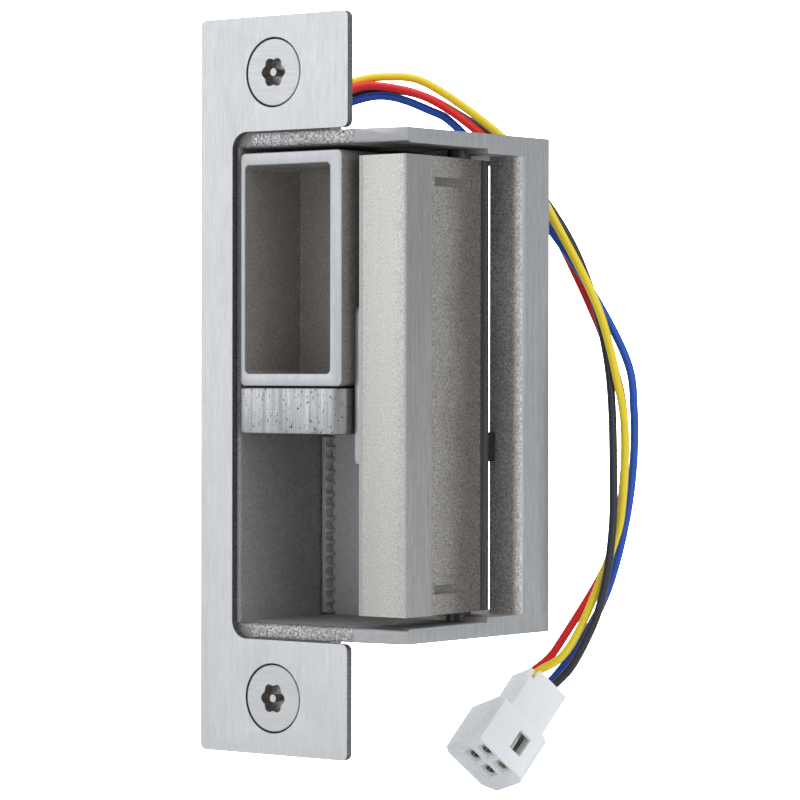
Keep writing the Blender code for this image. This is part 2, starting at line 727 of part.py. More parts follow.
def switch_screw_places():
    """The switch's two fixing holes."""
    x = SWITCH_LOW[0] + 1.6
    return ((x, SWITCH_LOW[2] + 2.2), (x, SWITCH_HIGH[2] - 2.2))


def build_switch():
    """Subminiature switch body with three solder terminals."""
    low, high = SWITCH_LOW, SWITCH_HIGH
    switch = block("monitor_switch", low, high)
    for x, z in switch_screw_places():
        cut(switch, rod("fixing", (x, 0, z), "Y", 1.0, low[1] - 1, high[1] + 1, 12))
    middle = (low[1] + high[1]) / 2
    for z in TERMINAL_Z:
        foot = (low[0] - 3.0, middle - 0.3, z - 0.7)
        fuse(switch, block("terminal", foot, (low[0] + 0.3, middle + 0.3, z + 0.7)))
    place = (0, BUTTON_Y, BUTTON_Z)
    cut(switch, rod("socket", place, "X", BUTTON_RADIUS + 0.15, high[0] - 1.4, high[0] + 1, 12))
    return switch


def build_button():
    """Switch plunger, resting against the flap's arm."""
    reach = SWITCH_HIGH[0]
    place = (0, BUTTON_Y, BUTTON_Z)
    button = rod("switch_button", place, "X", BUTTON_RADIUS, reach - 0.9, reach + 0.85, 12, 0.15)
    set_origin(button, (reach, BUTTON_Y, BUTTON_Z))
    return button


# ---------------------------------------------------------------- solenoid and lock


def build_yoke():
    """Open steel frame of the solenoid."""
    left = BAY_LEFT + GAP
    front = COIL_Y - YOKE_HALF_DEPTH
    back = COIL_Y + YOKE_HALF_DEPTH
    t = YOKE_THICKNESS
    outline = [(left, YOKE_LOW), (YOKE_RIGHT, YOKE_LOW), (YOKE_RIGHT, YOKE_LOW + t)]
    outline += [(left + t, YOKE_LOW + t), (left + t, YOKE_HIGH - t), (YOKE_RIGHT, YOKE_HIGH - t)]
    outline += [(YOKE_RIGHT, YOKE_HIGH), (left, YOKE_HIGH)]
    yoke = prism("solenoid_yoke", outline, front, back, "Y")
    place = (COIL_X, COIL_Y, 0)
    cut(yoke, rod("plunger hole", place, "Z", PLUNGER_RADIUS + 0.3, YOKE_LOW - 1, YOKE_LOW + 3, 24))
    cut(yoke, rod("core hole", place, "Z", 2.0, YOKE_HIGH - 3, YOKE_HIGH + 1, 24))
    for z in solenoid_screw_heights():
        cut(yoke, rod("tapped", (0, COIL_Y, z), "X", 1.35, left - 1, left + t + 1, 16))
    return yoke


def solenoid_screw_heights():
    """Heights of the two screws that hold the yoke to the bay's wall."""
    return (YOKE_LOW + 9.0, YOKE_HIGH - 9.0)


def build_bobbin():
    """Plastic spool inside the yoke."""
    low = YOKE_LOW + YOKE_THICKNESS + 0.2
    high = YOKE_HIGH - YOKE_THICKNESS - 0.2
    bore = PLUNGER_RADIUS + 0.25
    profile = [(bore, low), (4.9, low), (4.9, low + 1.1), (3.4, low + 1.1)]
    profile += [(3.4, high - 1.1), (4.9, high - 1.1), (4.9, high), (bore, high)]
    return lathe("solenoid_bobbin", profile, (COIL_X, COIL_Y, 0), "Z", 28, True)


def build_coil():
    """Winding, as one wrapped body."""
    low = YOKE_LOW + YOKE_THICKNESS + 1.5
    high = YOKE_HIGH - YOKE_THICKNESS - 1.5
    profile = [(3.55, low), (4.75, low), (4.75, high), (3.55, high)]
    return lathe("solenoid_coil", profile, (COIL_X, COIL_Y, 0), "Z", 28, True)


def build_core():
    """Fixed pole piece with a riveted neck through the yoke."""
    neck = YOKE_HIGH - YOKE_THICKNESS - 0.2
    r = PLUNGER_RADIUS - 0.05
    profile = [(0, CORE_BOTTOM), (r - 0.25, CORE_BOTTOM), (r, CORE_BOTTOM + 0.3)]
    profile += [(r, neck), (1.8, neck), (1.8, YOKE_HIGH + 0.8), (0, YOKE_HIGH + 0.8)]
    return lathe("solenoid_core", profile, (COIL_X, COIL_Y, 0), "Z", 24)


def plunger_pin_height():
    """Height of the plunger's cross pin, on the lever's centre line at rest."""
    slope = (NOSE_Z - LEVER_Z) / ((NOSE_LEFT + NOSE_RIGHT) / 2 - LEVER_X)
    return LEVER_Z + slope * (COIL_X - LEVER_X)


def build_plunger():
    """Armature with a spring collar and a clevis for the lever."""
    pin_z = plunger_pin_height()
    foot = pin_z - 2.8
    top = CORE_BOTTOM - PLUNGER_STROKE - GAP
    r = PLUNGER_RADIUS
    profile = [(0, foot), (r - 0.4, foot), (r, foot + 0.4), (r, COLLAR_Z - 0.8), (4.1, COLLAR_Z - 0.8)]
    profile += [(4.1, COLLAR_Z), (r, COLLAR_Z), (r, top - 0.3), (r - 0.3, top), (0, top)]
    plunger = lathe("plunger", profile, (COIL_X, COIL_Y, 0), "Z", 24)
    half = LEVER_THICKNESS / 2 + 0.25
    low = (COIL_X - 5, COIL_Y - half, foot - 1)
    cut(plunger, block("clevis", low, (COIL_X + 5, COIL_Y + half, COLLAR_Z - 1.1)))
    cut(plunger, rod("cross hole", (COIL_X, 0, pin_z), "Y", 0.9, COIL_Y - 5, COIL_Y + 5, 16))
    set_origin(plunger, (COIL_X, COIL_Y, pin_z))
    return plunger


def build_plunger_pin():
    """Cross pin in the clevis."""
    pin_z = plunger_pin_height()
    pin = rod("plunger_pin", (COIL_X, COIL_Y, pin_z), "Y", 0.75, -2.4, 2.4, 16)
    set_origin(pin, (COIL_X, COIL_Y, pin_z))
    return pin


def build_plunger_spring():
    """Return spring between the yoke and the plunger's collar."""
    coil = helix((COIL_X, COIL_Y), 3.35, COLLAR_Z + 0.45, YOKE_LOW - 0.45, 5, 12)
    return sweep("plunger_spring", coil, 0.28, 6)


def build_lever():
    """Lock lever: its nose drops clear of the keeper's tail at rest."""
    front = COIL_Y - LEVER_THICKNESS / 2
    back = COIL_Y + LEVER_THICKNESS / 2
    nose_top = NOSE_Z + NOSE_HALF_HEIGHT
    nose_foot = NOSE_Z - NOSE_HALF_HEIGHT
    outline = arc(LEVER_X, LEVER_Z, 2.9, 70, 290, 12)
    outline += [(8.0, -17.6), (NOSE_LEFT, nose_foot), (NOSE_RIGHT, nose_foot)]
    outline += [(NOSE_RIGHT, nose_top), (NOSE_LEFT, nose_top), (4.0, -13.6), (-3.2, -12.8)]
    lever = prism("lock_lever", outline, front, back, "Y")
    nose = rounded_rectangle(NOSE_LEFT, NOSE_RIGHT, nose_foot, nose_top, 0.4, 2)
    fuse(lever, prism("nose", nose, NOSE_FRONT, back - 0.2, "Y"))
    cut(lever, rod("bore", (LEVER_X, 0, LEVER_Z), "Y", LEVER_PIN_RADIUS + 0.15, front - 1, back + 1, 20))
    pin_z = plunger_pin_height()
    slot = rounded_rectangle(COIL_X - 1.2, COIL_X + 1.2, pin_z - 1.0, pin_z + 1.0, 0.95, 5)
    cut(lever, prism("slot", slot, front - 1, back + 1, "Y"))
    set_origin(lever, (LEVER_X, COIL_Y, LEVER_Z))
    return lever


# ---------------------------------------------------------------- rear cover, grommet


def build_cover():
    """Sheet cover over the solenoid bay."""
    front = FRAME_BACK - REBATE + GAP
    outline = rounded_rectangle(COVER_LEFT, COVER_RIGHT, COVER_LOW, COVER_HIGH, 0.6, 2)
    cover = prism("rear_cover", outline, front, FRAME_BACK, "Y")
    for x, z in COVER_SCREWS:
        cut(cover, rod("hole", (x, 0, z), "Y", 1.5, front - 1, FRAME_BACK + 1, 16))
    return cover


def build_pan_screw(name, place, axis, head_low, head_high, head_radius, radius, low, high):
    """Pan-head screw along an axis, its head between two heights and its shank between two more."""
    outward = 1 if head_high > high else -1
    face, seat = (head_high, head_low) if outward > 0 else (head_low, head_high)
    tip = low if outward > 0 else high
    profile = [(0, face - outward * 0.7), (head_radius * 0.28, face - outward * 0.7)]
    profile += [(head_radius * 0.34, face), (head_radius * 0.72, face), (head_radius, face - outward * 0.6)]
    profile += [(head_radius, seat), (radius, seat)]
    profile += [(radius, tip + outward * 0.4), (radius - 0.35, tip), (0, tip)]
    return lathe(name, profile, place, axis, 20)


def build_solenoid_screw(name, z):
    """Countersunk screw through the bay's wall into the yoke."""
    head = FRAME_LEFT + 0.1
    tip = BAY_LEFT + GAP + YOKE_THICKNESS + 0.6
    profile = [(0, head + 0.6), (0.7, head + 0.6), (0.8, head), (2.35, head), (1.15, head + 1.3)]
    profile += [(1.15, tip - 0.3), (0.8, tip), (0, tip)]
    return lathe(name, profile, (0, COIL_Y, z), "X", 20)


def build_grommet():
    """Rubber grommet in the bay's left wall."""
    out, back = FRAME_LEFT, BAY_LEFT
    bore = 2.3
    profile = [(bore, out - 1.5), (3.6, out - 1.5), (4.3, out - 0.9), (4.3, out - 0.15)]
    profile += [(2.85, out - 0.15), (2.85, back + 0.15), (4.0, back + 0.15), (4.0, back + 0.9)]
    profile += [(3.3, back + 1.4), (bore, back + 1.4)]
    return lathe("cable_grommet", profile, (0, GROMMET_Y, GROMMET_Z), "X", 28, True)


# ---------------------------------------------------------------- wires


def on_loop(along, height, front):
    """Point of the wire loop: along its upright plane, up, and out of the plane to the front."""
    return SWEEP_ORIGIN + SWEEP_RIGHT * along + SWEEP_FRONT * front + Vector((0, 0, height))


def plug_frame():
    """The plug's axes: mouthward, across, topward, as unit vectors."""
    mouth = PLUG_MOUTHWARD
    top = (PLUG_TOPWARD - mouth * PLUG_TOPWARD.dot(mouth)).normalized()
    return mouth, top.cross(mouth).normalized(), top


def plug_point(mouthward, across, up):
    """Point in the plug's own axes, from the centre of its rear face."""
    mouth, right, top = plug_frame()
    return PLUG_REAR + mouth * mouthward + right * across + top * up


def contact_places():
    """The four contacts: across and up, in the plug's axes."""
    left = PLUG_MIDDLE - PLUG_PITCH / 2
    right = PLUG_MIDDLE + PLUG_PITCH / 2
    high = PLUG_ROW / 2
    return {"yellow": (left, high), "red": (left, -high), "blue": (right, -high), "black": (right, high)}


def wire_loops():
    """Free run of each wire: (along, height, front) in the loop's plane."""
    return {
        "yellow": ((0.6, 53.2, 0.7), (6.9, 54.2, 0.9), (14.0, 52.9, 1.2), (26.1, 44.4, 1.6),
                   (30.6, 38.9, 2.1), (36.0, 29.2, 2.7), (43.7, 13.9, 2.7), (47.4, 0.0, 2.3),
                   (48.7, -9.1, 1.6), (48.2, -21.3, 0.9), (46.7, -28.2, 0.7), (41.8, -40.7, 1.2),
                   (37.8, -47.5, 1.7)),
        "red": ((0.6, 51.9, 1.8), (5.4, 52.5, 1.8), (14.0, 50.4, 1.4), (22.9, 44.4, 0.9),
                (29.0, 37.5, -0.7), (36.0, 28.0, -2.7), (46.3, 5.3, -2.7), (48.9, -9.0, -2.7),
                (47.5, -26.6, -2.7), (44.6, -34.0, -2.6), (38.2, -44.4, -1.8),
                (35.3, -48.4, -1.5)),
        "blue": ((5.5, 50.9, 0.2), (14.0, 48.5, -0.3), (20.1, 44.4, -0.6), (36.0, 26.9, -0.9),
                 (48.1, 6.9, -0.9), (50.4, -4.6, -0.7), (49.7, -19.8, -0.7), (46.3, -34.8, -0.9),
                 (41.6, -44.6, -1.5), (37.1, -50.9, -1.9)),
        "black": ((0.6, 51.3, -1.0), (5.6, 52.2, -1.0), (14.0, 50.6, -0.6), (24.6, 44.2, -0.9),
                  (30.2, 38.5, -0.1), (40.1, 23.3, 0.9), (45.6, 4.4, 0.9), (46.6, -17.4, 2.6),
                  (46.0, -29.3, 2.8), (44.2, -38.9, 2.4), (41.7, -45.2, 1.8),
                  (39.0, -50.0, 1.4)),
    }


def bundle_run(colour):
    """Points of one wire where the four run together, through the grommet and up the frame's left side."""
    y, z = GROMMET_Y, GROMMET_Z
    stations = (  # middle of the bundle, heading, outer side of the bend, twist in degrees
        ((-7.6, y, z), (-1, 0, 0), (0, 0, -1), 0),
        ((-9.6, y, z), (-1, 0, 0), (0, 0, -1), 0),
        ((-12.0, y, z), (-1, 0, 0), (0, 0, -1), 0),
        ((-13.8, y, z), (-1, 0, 0), (0, 0, -1), 0),
        ((-15.9, 34.9, 36.9), (-0.75, -0.25, 0.6), (-0.5, 0, -0.85), 0),
        ((-17.2, 33.5, 39.4), (-0.25, -0.45, 0.85), (-0.95, 0, -0.3), 5),
        ((-17.4, 31.7, 42.6), (0.1, -0.45, 0.88), (-1, -0.2, 0), 15),
        ((-16.3, 30.3, 46.0), (0.4, -0.1, 0.88), (-0.85, -0.4, 0.3), 30),
        ((-13.5, 30.5, 49.2), (0.6, 0.4, 0.68), (-0.55, -0.4, 0.7), 45),
    )
    points = []
    for middle, heading, outer, twist in stations:
        ahead = Vector(heading).normalized()
        outward = (Vector(outer) - ahead * ahead.dot(Vector(outer))).normalized()
        turn = radians(BUNDLE_PLACES[colour] + twist)
        offset = outward * cos(turn) + ahead.cross(outward) * sin(turn)
        points.append(Vector(middle) + offset * BUNDLE_RADIUS)
    return points


def inner_run(colour):
    """Points inside the frame, from the wire's inner end towards the grommet."""
    end = SWITCH_LOW[0] - 3.4
    middle = (SWITCH_LOW[1] + SWITCH_HIGH[1]) / 2
    top = YOKE_HIGH + 0.95
    runs = {
        "blue": [(end, middle, TERMINAL_Z[2]), (0.3, middle, 12.0), (0.5, 21.8, 16.5), (1.6, 21.6, 24.0),
                 (1.6, 21.6, 31.0), (-1.6, 21.8, 35.6), (-5.0, 23.2, 36.2), (-6.0, 26.0, 36.05),
                 (-6.0, 29.0, 36.1), (-5.9, 31.5, 36.4), (-6.2, 33.5, 36.7)],
        "red": [(end, middle, TERMINAL_Z[0]), (-3.0, 22.0, 4.2), (-7.2, 21.4, 7.5), (-7.3, 21.4, 14.0),
                (-7.3, 21.4, 28.0), (-6.8, 22.6, 32.6), (-6.0, 26.0, 34.3), (-6.0, 29.0, 34.3),
                (-5.9, 31.5, 34.4), (-6.2, 33.5, 34.8)],
        "yellow": [(-2.8, 34.6, top), (-4.8, 35.2, top + 0.2), (-6.4, 36.0, 33.9)],
        "black": [(-2.8, 37.4, top), (-4.8, 37.3, top + 1.0), (-6.4, 37.0, 36.1)],
    }
    return runs[colour]


def build_wire(colour):
    """Insulated wire from the bay, through the grommet, round the loop and into the plug."""
    points = inner_run(colour) + bundle_run(colour)
    points += [on_loop(*place) for place in wire_loops()[colour]]
    across, up = contact_places()[colour]
    points += [plug_point(distance, across, up) for distance in (-0.8, 2.2)]
    return sweep("wire_" + colour, smooth_path(points, 4), WIRE_RADIUS, 8)


# ---------------------------------------------------------------- plug


def plug_block(name, low, high):
    """Box in the plug's axes: mouthward, across, up."""
    mouth, right, top = plug_frame()
    obj = block(name, low, high)
    turn = Matrix((mouth, right, top)).transposed().to_4x4()
    obj.data.transform(Matrix.Translation(PLUG_REAR * MM) @ turn)
    return obj


def plug_prism(name, outline, low, high, axis):
    """Prism in the plug's axes."""
    mouth, right, top = plug_frame()
    obj = prism(name, outline, low, high, axis)
    turn = Matrix((mouth, right, top)).transposed().to_4x4()
    obj.data.transform(Matrix.Translation(PLUG_REAR * MM) @ turn)
    return obj


def chamfered(left, right, low, high, size):
    """Rectangle outline with cut corners."""
    return [(left + size, low), (right - size, low), (right, low + size), (right, high - size),
            (right - size, high), (left + size, high), (left, high - size), (left, low + size)]


def build_plug():
    """Four-way receptacle housing: a neck, a wider hood, one window over a contact."""
    half = NECK_WIDTH / 2
    tall = NECK_HEIGHT / 2
    outline = chamfered(-half, half, -tall, tall, 0.6)
    neck = plug_prism("connector_housing", outline, 0, NECK_LENGTH + 1, "X")
    hood = chamfered(HOOD_LEFT, HOOD_RIGHT, HOOD_LOW, HOOD_HIGH, 1.2)
    end = NECK_LENGTH + HOOD_LENGTH
    fuse(neck, plug_prism("hood", hood, NECK_LENGTH, end, "X"))
    for across, up in contact_places().values():
        reach = 1.45
        corner = (end + 2, across + reach, up + reach)
        cut(neck, plug_block("silo", (3.0, across - reach, up - reach), corner))
        cut(neck, plug_block("entry", (-2, across - 1.05, up - 1.05), (3.4, across + 1.05, up + 1.05)))
    middle = PLUG_MIDDLE + PLUG_PITCH / 2 - 0.2
    window_low = (end - 7.2, middle - 1.3, PLUG_ROW / 2)
    cut(neck, plug_block("window", window_low, (end - 3.0, middle + 1.3, HOOD_HIGH + 2)))
    return neck


def build_contact(name, colour):
    """Crimped receptacle contact in its silo."""
    across, up = contact_places()[colour]
    end = NECK_LENGTH + HOOD_LENGTH
    start = 3.4
    contact = plug_block(name, (start, across - 1.1, up - 0.95), (end - 0.7, across + 1.1, up + 0.85))
    low = (start + 5.0, across - 0.8, up - 0.65)
    cut(contact, plug_block("socket", low, (end + 1, across + 0.8, up + 0.55)))
    slit = (start + 7.0, across - 0.25, up)
    cut(contact, plug_block("seam", slit, (end + 1, across + 0.25, up + 2)))
    return contact


# ---------------------------------------------------------------- assembly


def build_all():
    """Build every piece and give it its material."""
    brushed = material("brushed stainless", (0.67, 0.68, 0.69), 0.34, 1.0)
    cast = material("cast stainless", (0.36, 0.34, 0.33), 0.55, 1.0)
    satin = material("satin steel", (0.56, 0.55, 0.52), 0.38, 1.0)
    zinc = material("plated steel", (0.6, 0.6, 0.58), 0.35, 1.0)
    spring = material("spring steel", (0.45, 0.45, 0.46), 0.3, 1.0)
    copper = material("copper winding", (0.62, 0.27, 0.12), 0.4, 0.6)
    black = material("black plastic", (0.03, 0.03, 0.03), 0.45)
    rubber = material("black rubber", (0.02, 0.02, 0.02), 0.8)
    nylon = material("natural nylon", (0.78, 0.8, 0.82), 0.4)
    tin = material("tinned brass", (0.72, 0.68, 0.58), 0.25, 1.0)
    sleeve = {"yellow": (0.85, 0.68, 0.03), "red": (0.75, 0.05, 0.04), "blue": (0.02, 0.09, 0.5),
              "black": (0.03, 0.03, 0.035)}

    paint(build_faceplate(), brushed)
    paint(build_mounting_screw("mounting_screw_top", SCREW_Z), brushed)
    paint(build_mounting_screw("mounting_screw_bottom", -SCREW_Z), brushed)
    paint(build_frame(), cast)

    paint(build_keeper(), satin)
    place = (PIVOT_X, PIVOT_Y, 0)
    paint(rod("keeper_pin", place, "Z", PIN_RADIUS, -PIN_HALF_LENGTH, PIN_HALF_LENGTH, 24, 0.4), zinc)
    paint(build_keeper_spring(), spring)

    paint(build_insert(), brushed)
    for name, z in zip(("insert_screw_lower", "insert_screw_upper"), INSERT_SCREW_Z):
        place = (INSERT_SCREW_X, 0, z)
        head = WEB_BACK + 0.15
        screw = build_pan_screw(name, place, "Y", head, head + 2.0, 2.8, 1.35, POCKET_BACK + 3, WEB_BACK)
        paint(screw, zinc)
    paint(build_guard_block(), satin)
    place = (BLOCK_SCREW_X, 0, BLOCK_SCREW_Z)
    head = WEB_BACK + 0.15
    clamp = build_pan_screw("guard_block_screw", place, "Y", head, head + 2.2, 3.3, 1.8, 17.5, WEB_BACK)
    set_origin(clamp, place)
    paint(clamp, zinc)
    paint(build_rack(), cast)

    paint(build_flap(), zinc)
    place = (FLAP_X, FLAP_Y, 0)
    paint(rod("flap_pin", place, "Z", FLAP_PIN_RADIUS, -LUG_HIGH, LUG_HIGH, 16, 0.2), zinc)
    paint(build_switch(), black)
    paint(build_button(), nylon)
    for name, (x, z) in zip(("switch_screw_lower", "switch_screw_upper"), switch_screw_places()):
        head = WEB_BACK + 0.1
        tip = SWITCH_LOW[1] + 0.2
        paint(build_pan_screw(name, (x, 0, z), "Y", head, head + 1.3, 1.7, 0.75, tip, WEB_BACK), zinc)

    paint(build_yoke(), zinc)
    paint(build_bobbin(), black)
    paint(build_coil(), copper)
    paint(build_core(), zinc)
    paint(build_plunger(), zinc)
    paint(build_plunger_pin(), zinc)
    paint(build_plunger_spring(), spring)
    for name, z in zip(("solenoid_screw_lower", "solenoid_screw_upper"), solenoid_screw_heights()):
        paint(build_solenoid_screw(name, z), zinc)
    paint(build_lever(), satin)
    place = (LEVER_X, 0, LEVER_Z)
    paint(rod("lever_pin", place, "Y", LEVER_PIN_RADIUS, 29.9, 41.3, 20, 0.3), zinc)

    paint(build_cover(), brushed)
    for number, (x, z) in enumerate(COVER_SCREWS, 1):
        name = f"cover_screw_{number}"
        head = FRAME_BACK + 0.1
        paint(build_pan_screw(name, (x, 0, z), "Y", head, head + 1.5, 2.4, 1.1, 34.0, FRAME_BACK), zinc)
    paint(build_grommet(), rubber)

    paint(build_plug(), nylon)
    for number, colour in enumerate(("yellow", "black", "red", "blue"), 1):
        sleeve_material = material(colour + " insulation", sleeve[colour], 0.35)
        paint(build_wire(colour), sleeve_material)
        paint(build_contact(f"contact_{number}", colour), tin)


def place_origin():
    """Move the whole assembly so that the origin lies on the faceplate's side strip."""
    for obj in bpy.data.objects:
        obj.location.x -= ORIGIN_X * MM


for leftover in list(bpy.data.objects):
    bpy.data.objects.remove(leftover, do_unlink=True)
build_all()
place_origin()
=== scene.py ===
"""Looks of the electric door strike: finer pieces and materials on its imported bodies.

Design values are millimetres, measured from the centre of the faceplate's front face, with +X to the
lip side, +Y into the door frame and +Z up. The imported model's X is larger by SHIFT_X.
"""

from math import cos, pi, radians, sin

import bmesh
import bpy
from mathutils import Matrix, Vector


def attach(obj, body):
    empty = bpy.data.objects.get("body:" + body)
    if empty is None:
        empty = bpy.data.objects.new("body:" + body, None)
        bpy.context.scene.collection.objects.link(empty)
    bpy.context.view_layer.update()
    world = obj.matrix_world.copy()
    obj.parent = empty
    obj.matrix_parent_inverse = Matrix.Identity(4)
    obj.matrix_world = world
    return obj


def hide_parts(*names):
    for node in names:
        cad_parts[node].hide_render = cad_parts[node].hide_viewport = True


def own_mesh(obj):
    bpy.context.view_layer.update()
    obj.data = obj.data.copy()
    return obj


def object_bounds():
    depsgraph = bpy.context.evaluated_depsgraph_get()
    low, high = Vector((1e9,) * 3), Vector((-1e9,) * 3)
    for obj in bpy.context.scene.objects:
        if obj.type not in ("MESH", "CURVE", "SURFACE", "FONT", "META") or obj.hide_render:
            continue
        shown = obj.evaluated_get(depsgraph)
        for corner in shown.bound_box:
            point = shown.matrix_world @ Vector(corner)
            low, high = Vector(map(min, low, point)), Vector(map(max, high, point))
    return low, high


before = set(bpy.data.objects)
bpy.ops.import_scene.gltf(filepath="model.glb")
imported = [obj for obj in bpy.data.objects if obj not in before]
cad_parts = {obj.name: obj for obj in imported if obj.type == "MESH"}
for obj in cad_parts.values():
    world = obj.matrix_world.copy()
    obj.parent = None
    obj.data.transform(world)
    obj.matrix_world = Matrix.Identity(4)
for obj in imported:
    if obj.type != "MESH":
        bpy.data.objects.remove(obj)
cad_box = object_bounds()

MM = 0.001
GAP = 0.3  # clearance between touching pieces
ORIGIN_X = -12.4  # design X of the model's origin, the middle of the strip beside the cut-out

# Faceplate, ANSI 4-7/8 x 1-1/4 in
PLATE_WIDTH = 31.75
PLATE_HEIGHT = 123.8
PLATE_THICKNESS = 1.3
PLATE_CORNER = 1.2
PLATE_EDGE = 0.35
CUTOUT_LEFT = -8.9
CUTOUT_HALF_HEIGHT = 42.65
CUTOUT_CORNER = 3.0
SCREW_Z = 52.4

# Flat-head screw, #12-24
HEAD_RADIUS = 5.6
SHANK_RADIUS = 2.7
HEAD_DEPTH = 3.3
SCREW_LENGTH = 15.9
RECESS_RADIUS = 2.55
RECESS_PIN_RADIUS = 0.65
RECESS_DEPTH = 2.0

# Cast frame
FRAME_LEFT = -12.0
FRAME_RIGHT = 26.2
FRAME_FRONT = PLATE_THICKNESS + GAP
FRAME_BACK = 42.9
FRAME_HALF_HEIGHT = 42.4
RAIL_FRONT = 1.2
RAIL_TIP_FRONT = 2.8
WINDOW_HALF_HEIGHT = 39.9
REAR_HALF_HEIGHT = 39.1
REAR_STEP_Y = 25.0
CAVITY_LEFT = -8.8
WEB_FRONT = 25.7
WEB_BACK = 28.2
WEB_RIGHT = 10.5
POST_FRONT = 34.5
POST_LEFT = 19.7
POST_ROUND = 1.8
BAY_LEFT = -9.4
BAY_RIGHT = 9.2
BAY_WALL_BOTTOM = -24.0
EAR_HALF_WIDTH = 11.0
EAR_TOP = 60.5
EAR_BACK = 4.6
EAR_HOLE_RADIUS = 7.6
REBATE = 1.3

# Keeper and its hinge
PIVOT_X = 19.5
PIVOT_Y = 26.0
BARREL_RADIUS = 5.0
PIN_RADIUS = 2.0
PIN_HALF_LENGTH = 42.2
KEEPER_HALF_HEIGHT = 38.0
KEEPER_FRONT = 2.1
KEEPER_LEFT = 16.3
LIP_DEPTH = 9.5
LIP_STEP = 0.35
GROOVE_Z = 33.8
GROOVE_WIDTH = 1.4
GROOVE_DEPTH = 0.3
TAIL_LOW = -13.0
TAIL_HIGH = -8.0
TAIL_LEFT = 17.0
TAIL_RIGHT = 21.5
TAIL_END = 34.0
SPRING_POCKET_RADIUS = 4.35
SPRING_POCKET_LOW = 8.0
SPRING_POCKET_HIGH = 24.0
SPRING_COIL_RADIUS = 3.35
SPRING_WIRE_RADIUS = 0.4

# Deadbolt pocket insert
INSERT_LEFT = -8.05
INSERT_RIGHT = 13.8
INSERT_LOW = -0.1
INSERT_HIGH = 39.1
INSERT_FRONT = 1.0
INSERT_BACK = 17.5
POCKET_LEFT = -7.0
POCKET_RIGHT = 11.3
POCKET_LOW = 2.0
POCKET_HIGH = 37.0
POCKET_BACK = 16.0
INSERT_SCREW_X = -3.7
INSERT_SCREW_Z = (12.0, 29.0)

# Guard block and its rack
BLOCK_LEFT = -8.0
BLOCK_RIGHT = 14.0
BLOCK_LOW = -8.1
BLOCK_HIGH = -0.4
BLOCK_FRONT = 1.0
BLOCK_STEP_Y = 17.0
BLOCK_REAR_RIGHT = 10.6
BLOCK_BACK = 25.3
BLOCK_SCREW_X = 4.0
BLOCK_SCREW_Z = -4.2
BLOCK_TRAVEL = 30.0
SLOT_HALF_WIDTH = 2.3
RACK_PITCH = 2.04
RACK_TEETH = 15
RACK_TOP = -8.95
RACK_FACE = -7.0
RACK_FRONT = 23.7

# Latch monitor
FLAP_X = 13.9
FLAP_Y = 19.4
FLAP_FRONT = 3.8
FLAP_FRONT_X = 14.95
FLAP_THICKNESS = 0.9
FLAP_HALF_HEIGHT = 13.5
FLAP_TAIL = (12.55, 24.3)
FLAP_TAIL_LOW = 3.0
FLAP_TAIL_HIGH = 11.0
FLAP_PIN_RADIUS = 0.8
LUG_LOW = 14.0
LUG_HIGH = 16.0
SWITCH_LOW = (4.8, 19.6, 0.6)
SWITCH_HIGH = (11.2, 25.2, 13.4)
TERMINAL_Z = (2.6, 7.0, 11.4)
BUTTON_Y = 23.2
BUTTON_Z = 8.6
BUTTON_RADIUS = 0.6

# Solenoid and lock lever
COIL_X = 0.5
COIL_Y = 36.2
YOKE_LOW = -3.0
YOKE_HIGH = 31.5
YOKE_THICKNESS = 1.6
YOKE_RIGHT = 6.5
YOKE_HALF_DEPTH = 5.0
PLUNGER_RADIUS = 2.6
PLUNGER_STROKE = 2.0
CORE_BOTTOM = 13.5
LEVER_X = -6.5
LEVER_Z = -14.0
LEVER_THICKNESS = 2.0
LEVER_PIN_RADIUS = 1.5
NOSE_LEFT = 12.0
NOSE_RIGHT = 16.6
NOSE_FRONT = 31.0
NOSE_Z = -16.5
NOSE_HALF_HEIGHT = 2.0
COLLAR_Z = -11.0

# Rear cover
COVER_LEFT = -11.4
COVER_RIGHT = 10.2
COVER_LOW = -36.0
COVER_HIGH = 41.8
COVER_SCREWS = ((5.8, 37.4), (-6.8, -6.9), (-5.5, -32.0))

# Cable
GROMMET_Y = 35.4
GROMMET_Z = 35.8
WIRE_RADIUS = 0.73
BUNDLE_RADIUS = 1.36  # from the bundle's middle to each of its four wires
BUNDLE_PLACES = {"yellow": -45, "red": 45, "blue": 135, "black": -135}  # turn from the outer side, degrees
SWEEP_ORIGIN = Vector((-10.0, 33.0, 0.0))  # the loop of wires lies in an upright plane through here
SWEEP_RIGHT = Vector((0.793, 0.609, 0.0))
SWEEP_FRONT = Vector((0.609, -0.793, 0.0))

# Plug
PLUG_REAR = Vector((16.7, 53.5, -53.2))
PLUG_MOUTHWARD = Vector((-0.03, -0.75, -0.66)).normalized()
PLUG_TOPWARD = Vector((0.91, -0.28, 0.30))
PLUG_PITCH = 3.9
PLUG_ROW = 3.7
PLUG_MIDDLE = -0.5
NECK_WIDTH = 8.3
NECK_HEIGHT = 7.7
NECK_LENGTH = 9.4
HOOD_LEFT = -6.5
HOOD_RIGHT = 5.7
HOOD_LOW = -6.4
HOOD_HIGH = 4.05
HOOD_LENGTH = 9.6

# Camera, in design millimetres, and light
CAMERA_PLACE = (385.27, -466.61, 2.14)
CAMERA_RIGHT = (0.79301, 0.60921, 0.00108)
CAMERA_UP = (-0.00544, 0.00531, 0.99997)
CAMERA_BACK = (0.60918, -0.79299, 0.00753)
CAMERA_LENS = 162.64
KEY_POWER = 5.6
TOP_POWER = 6.0
RIGHT_POWER = 2.0
SURROUND = 0.6
PAPER_GLOW = 4.0
SHIFT_X = -ORIGIN_X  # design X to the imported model's X


# ---------------------------------------------------------------- shapes


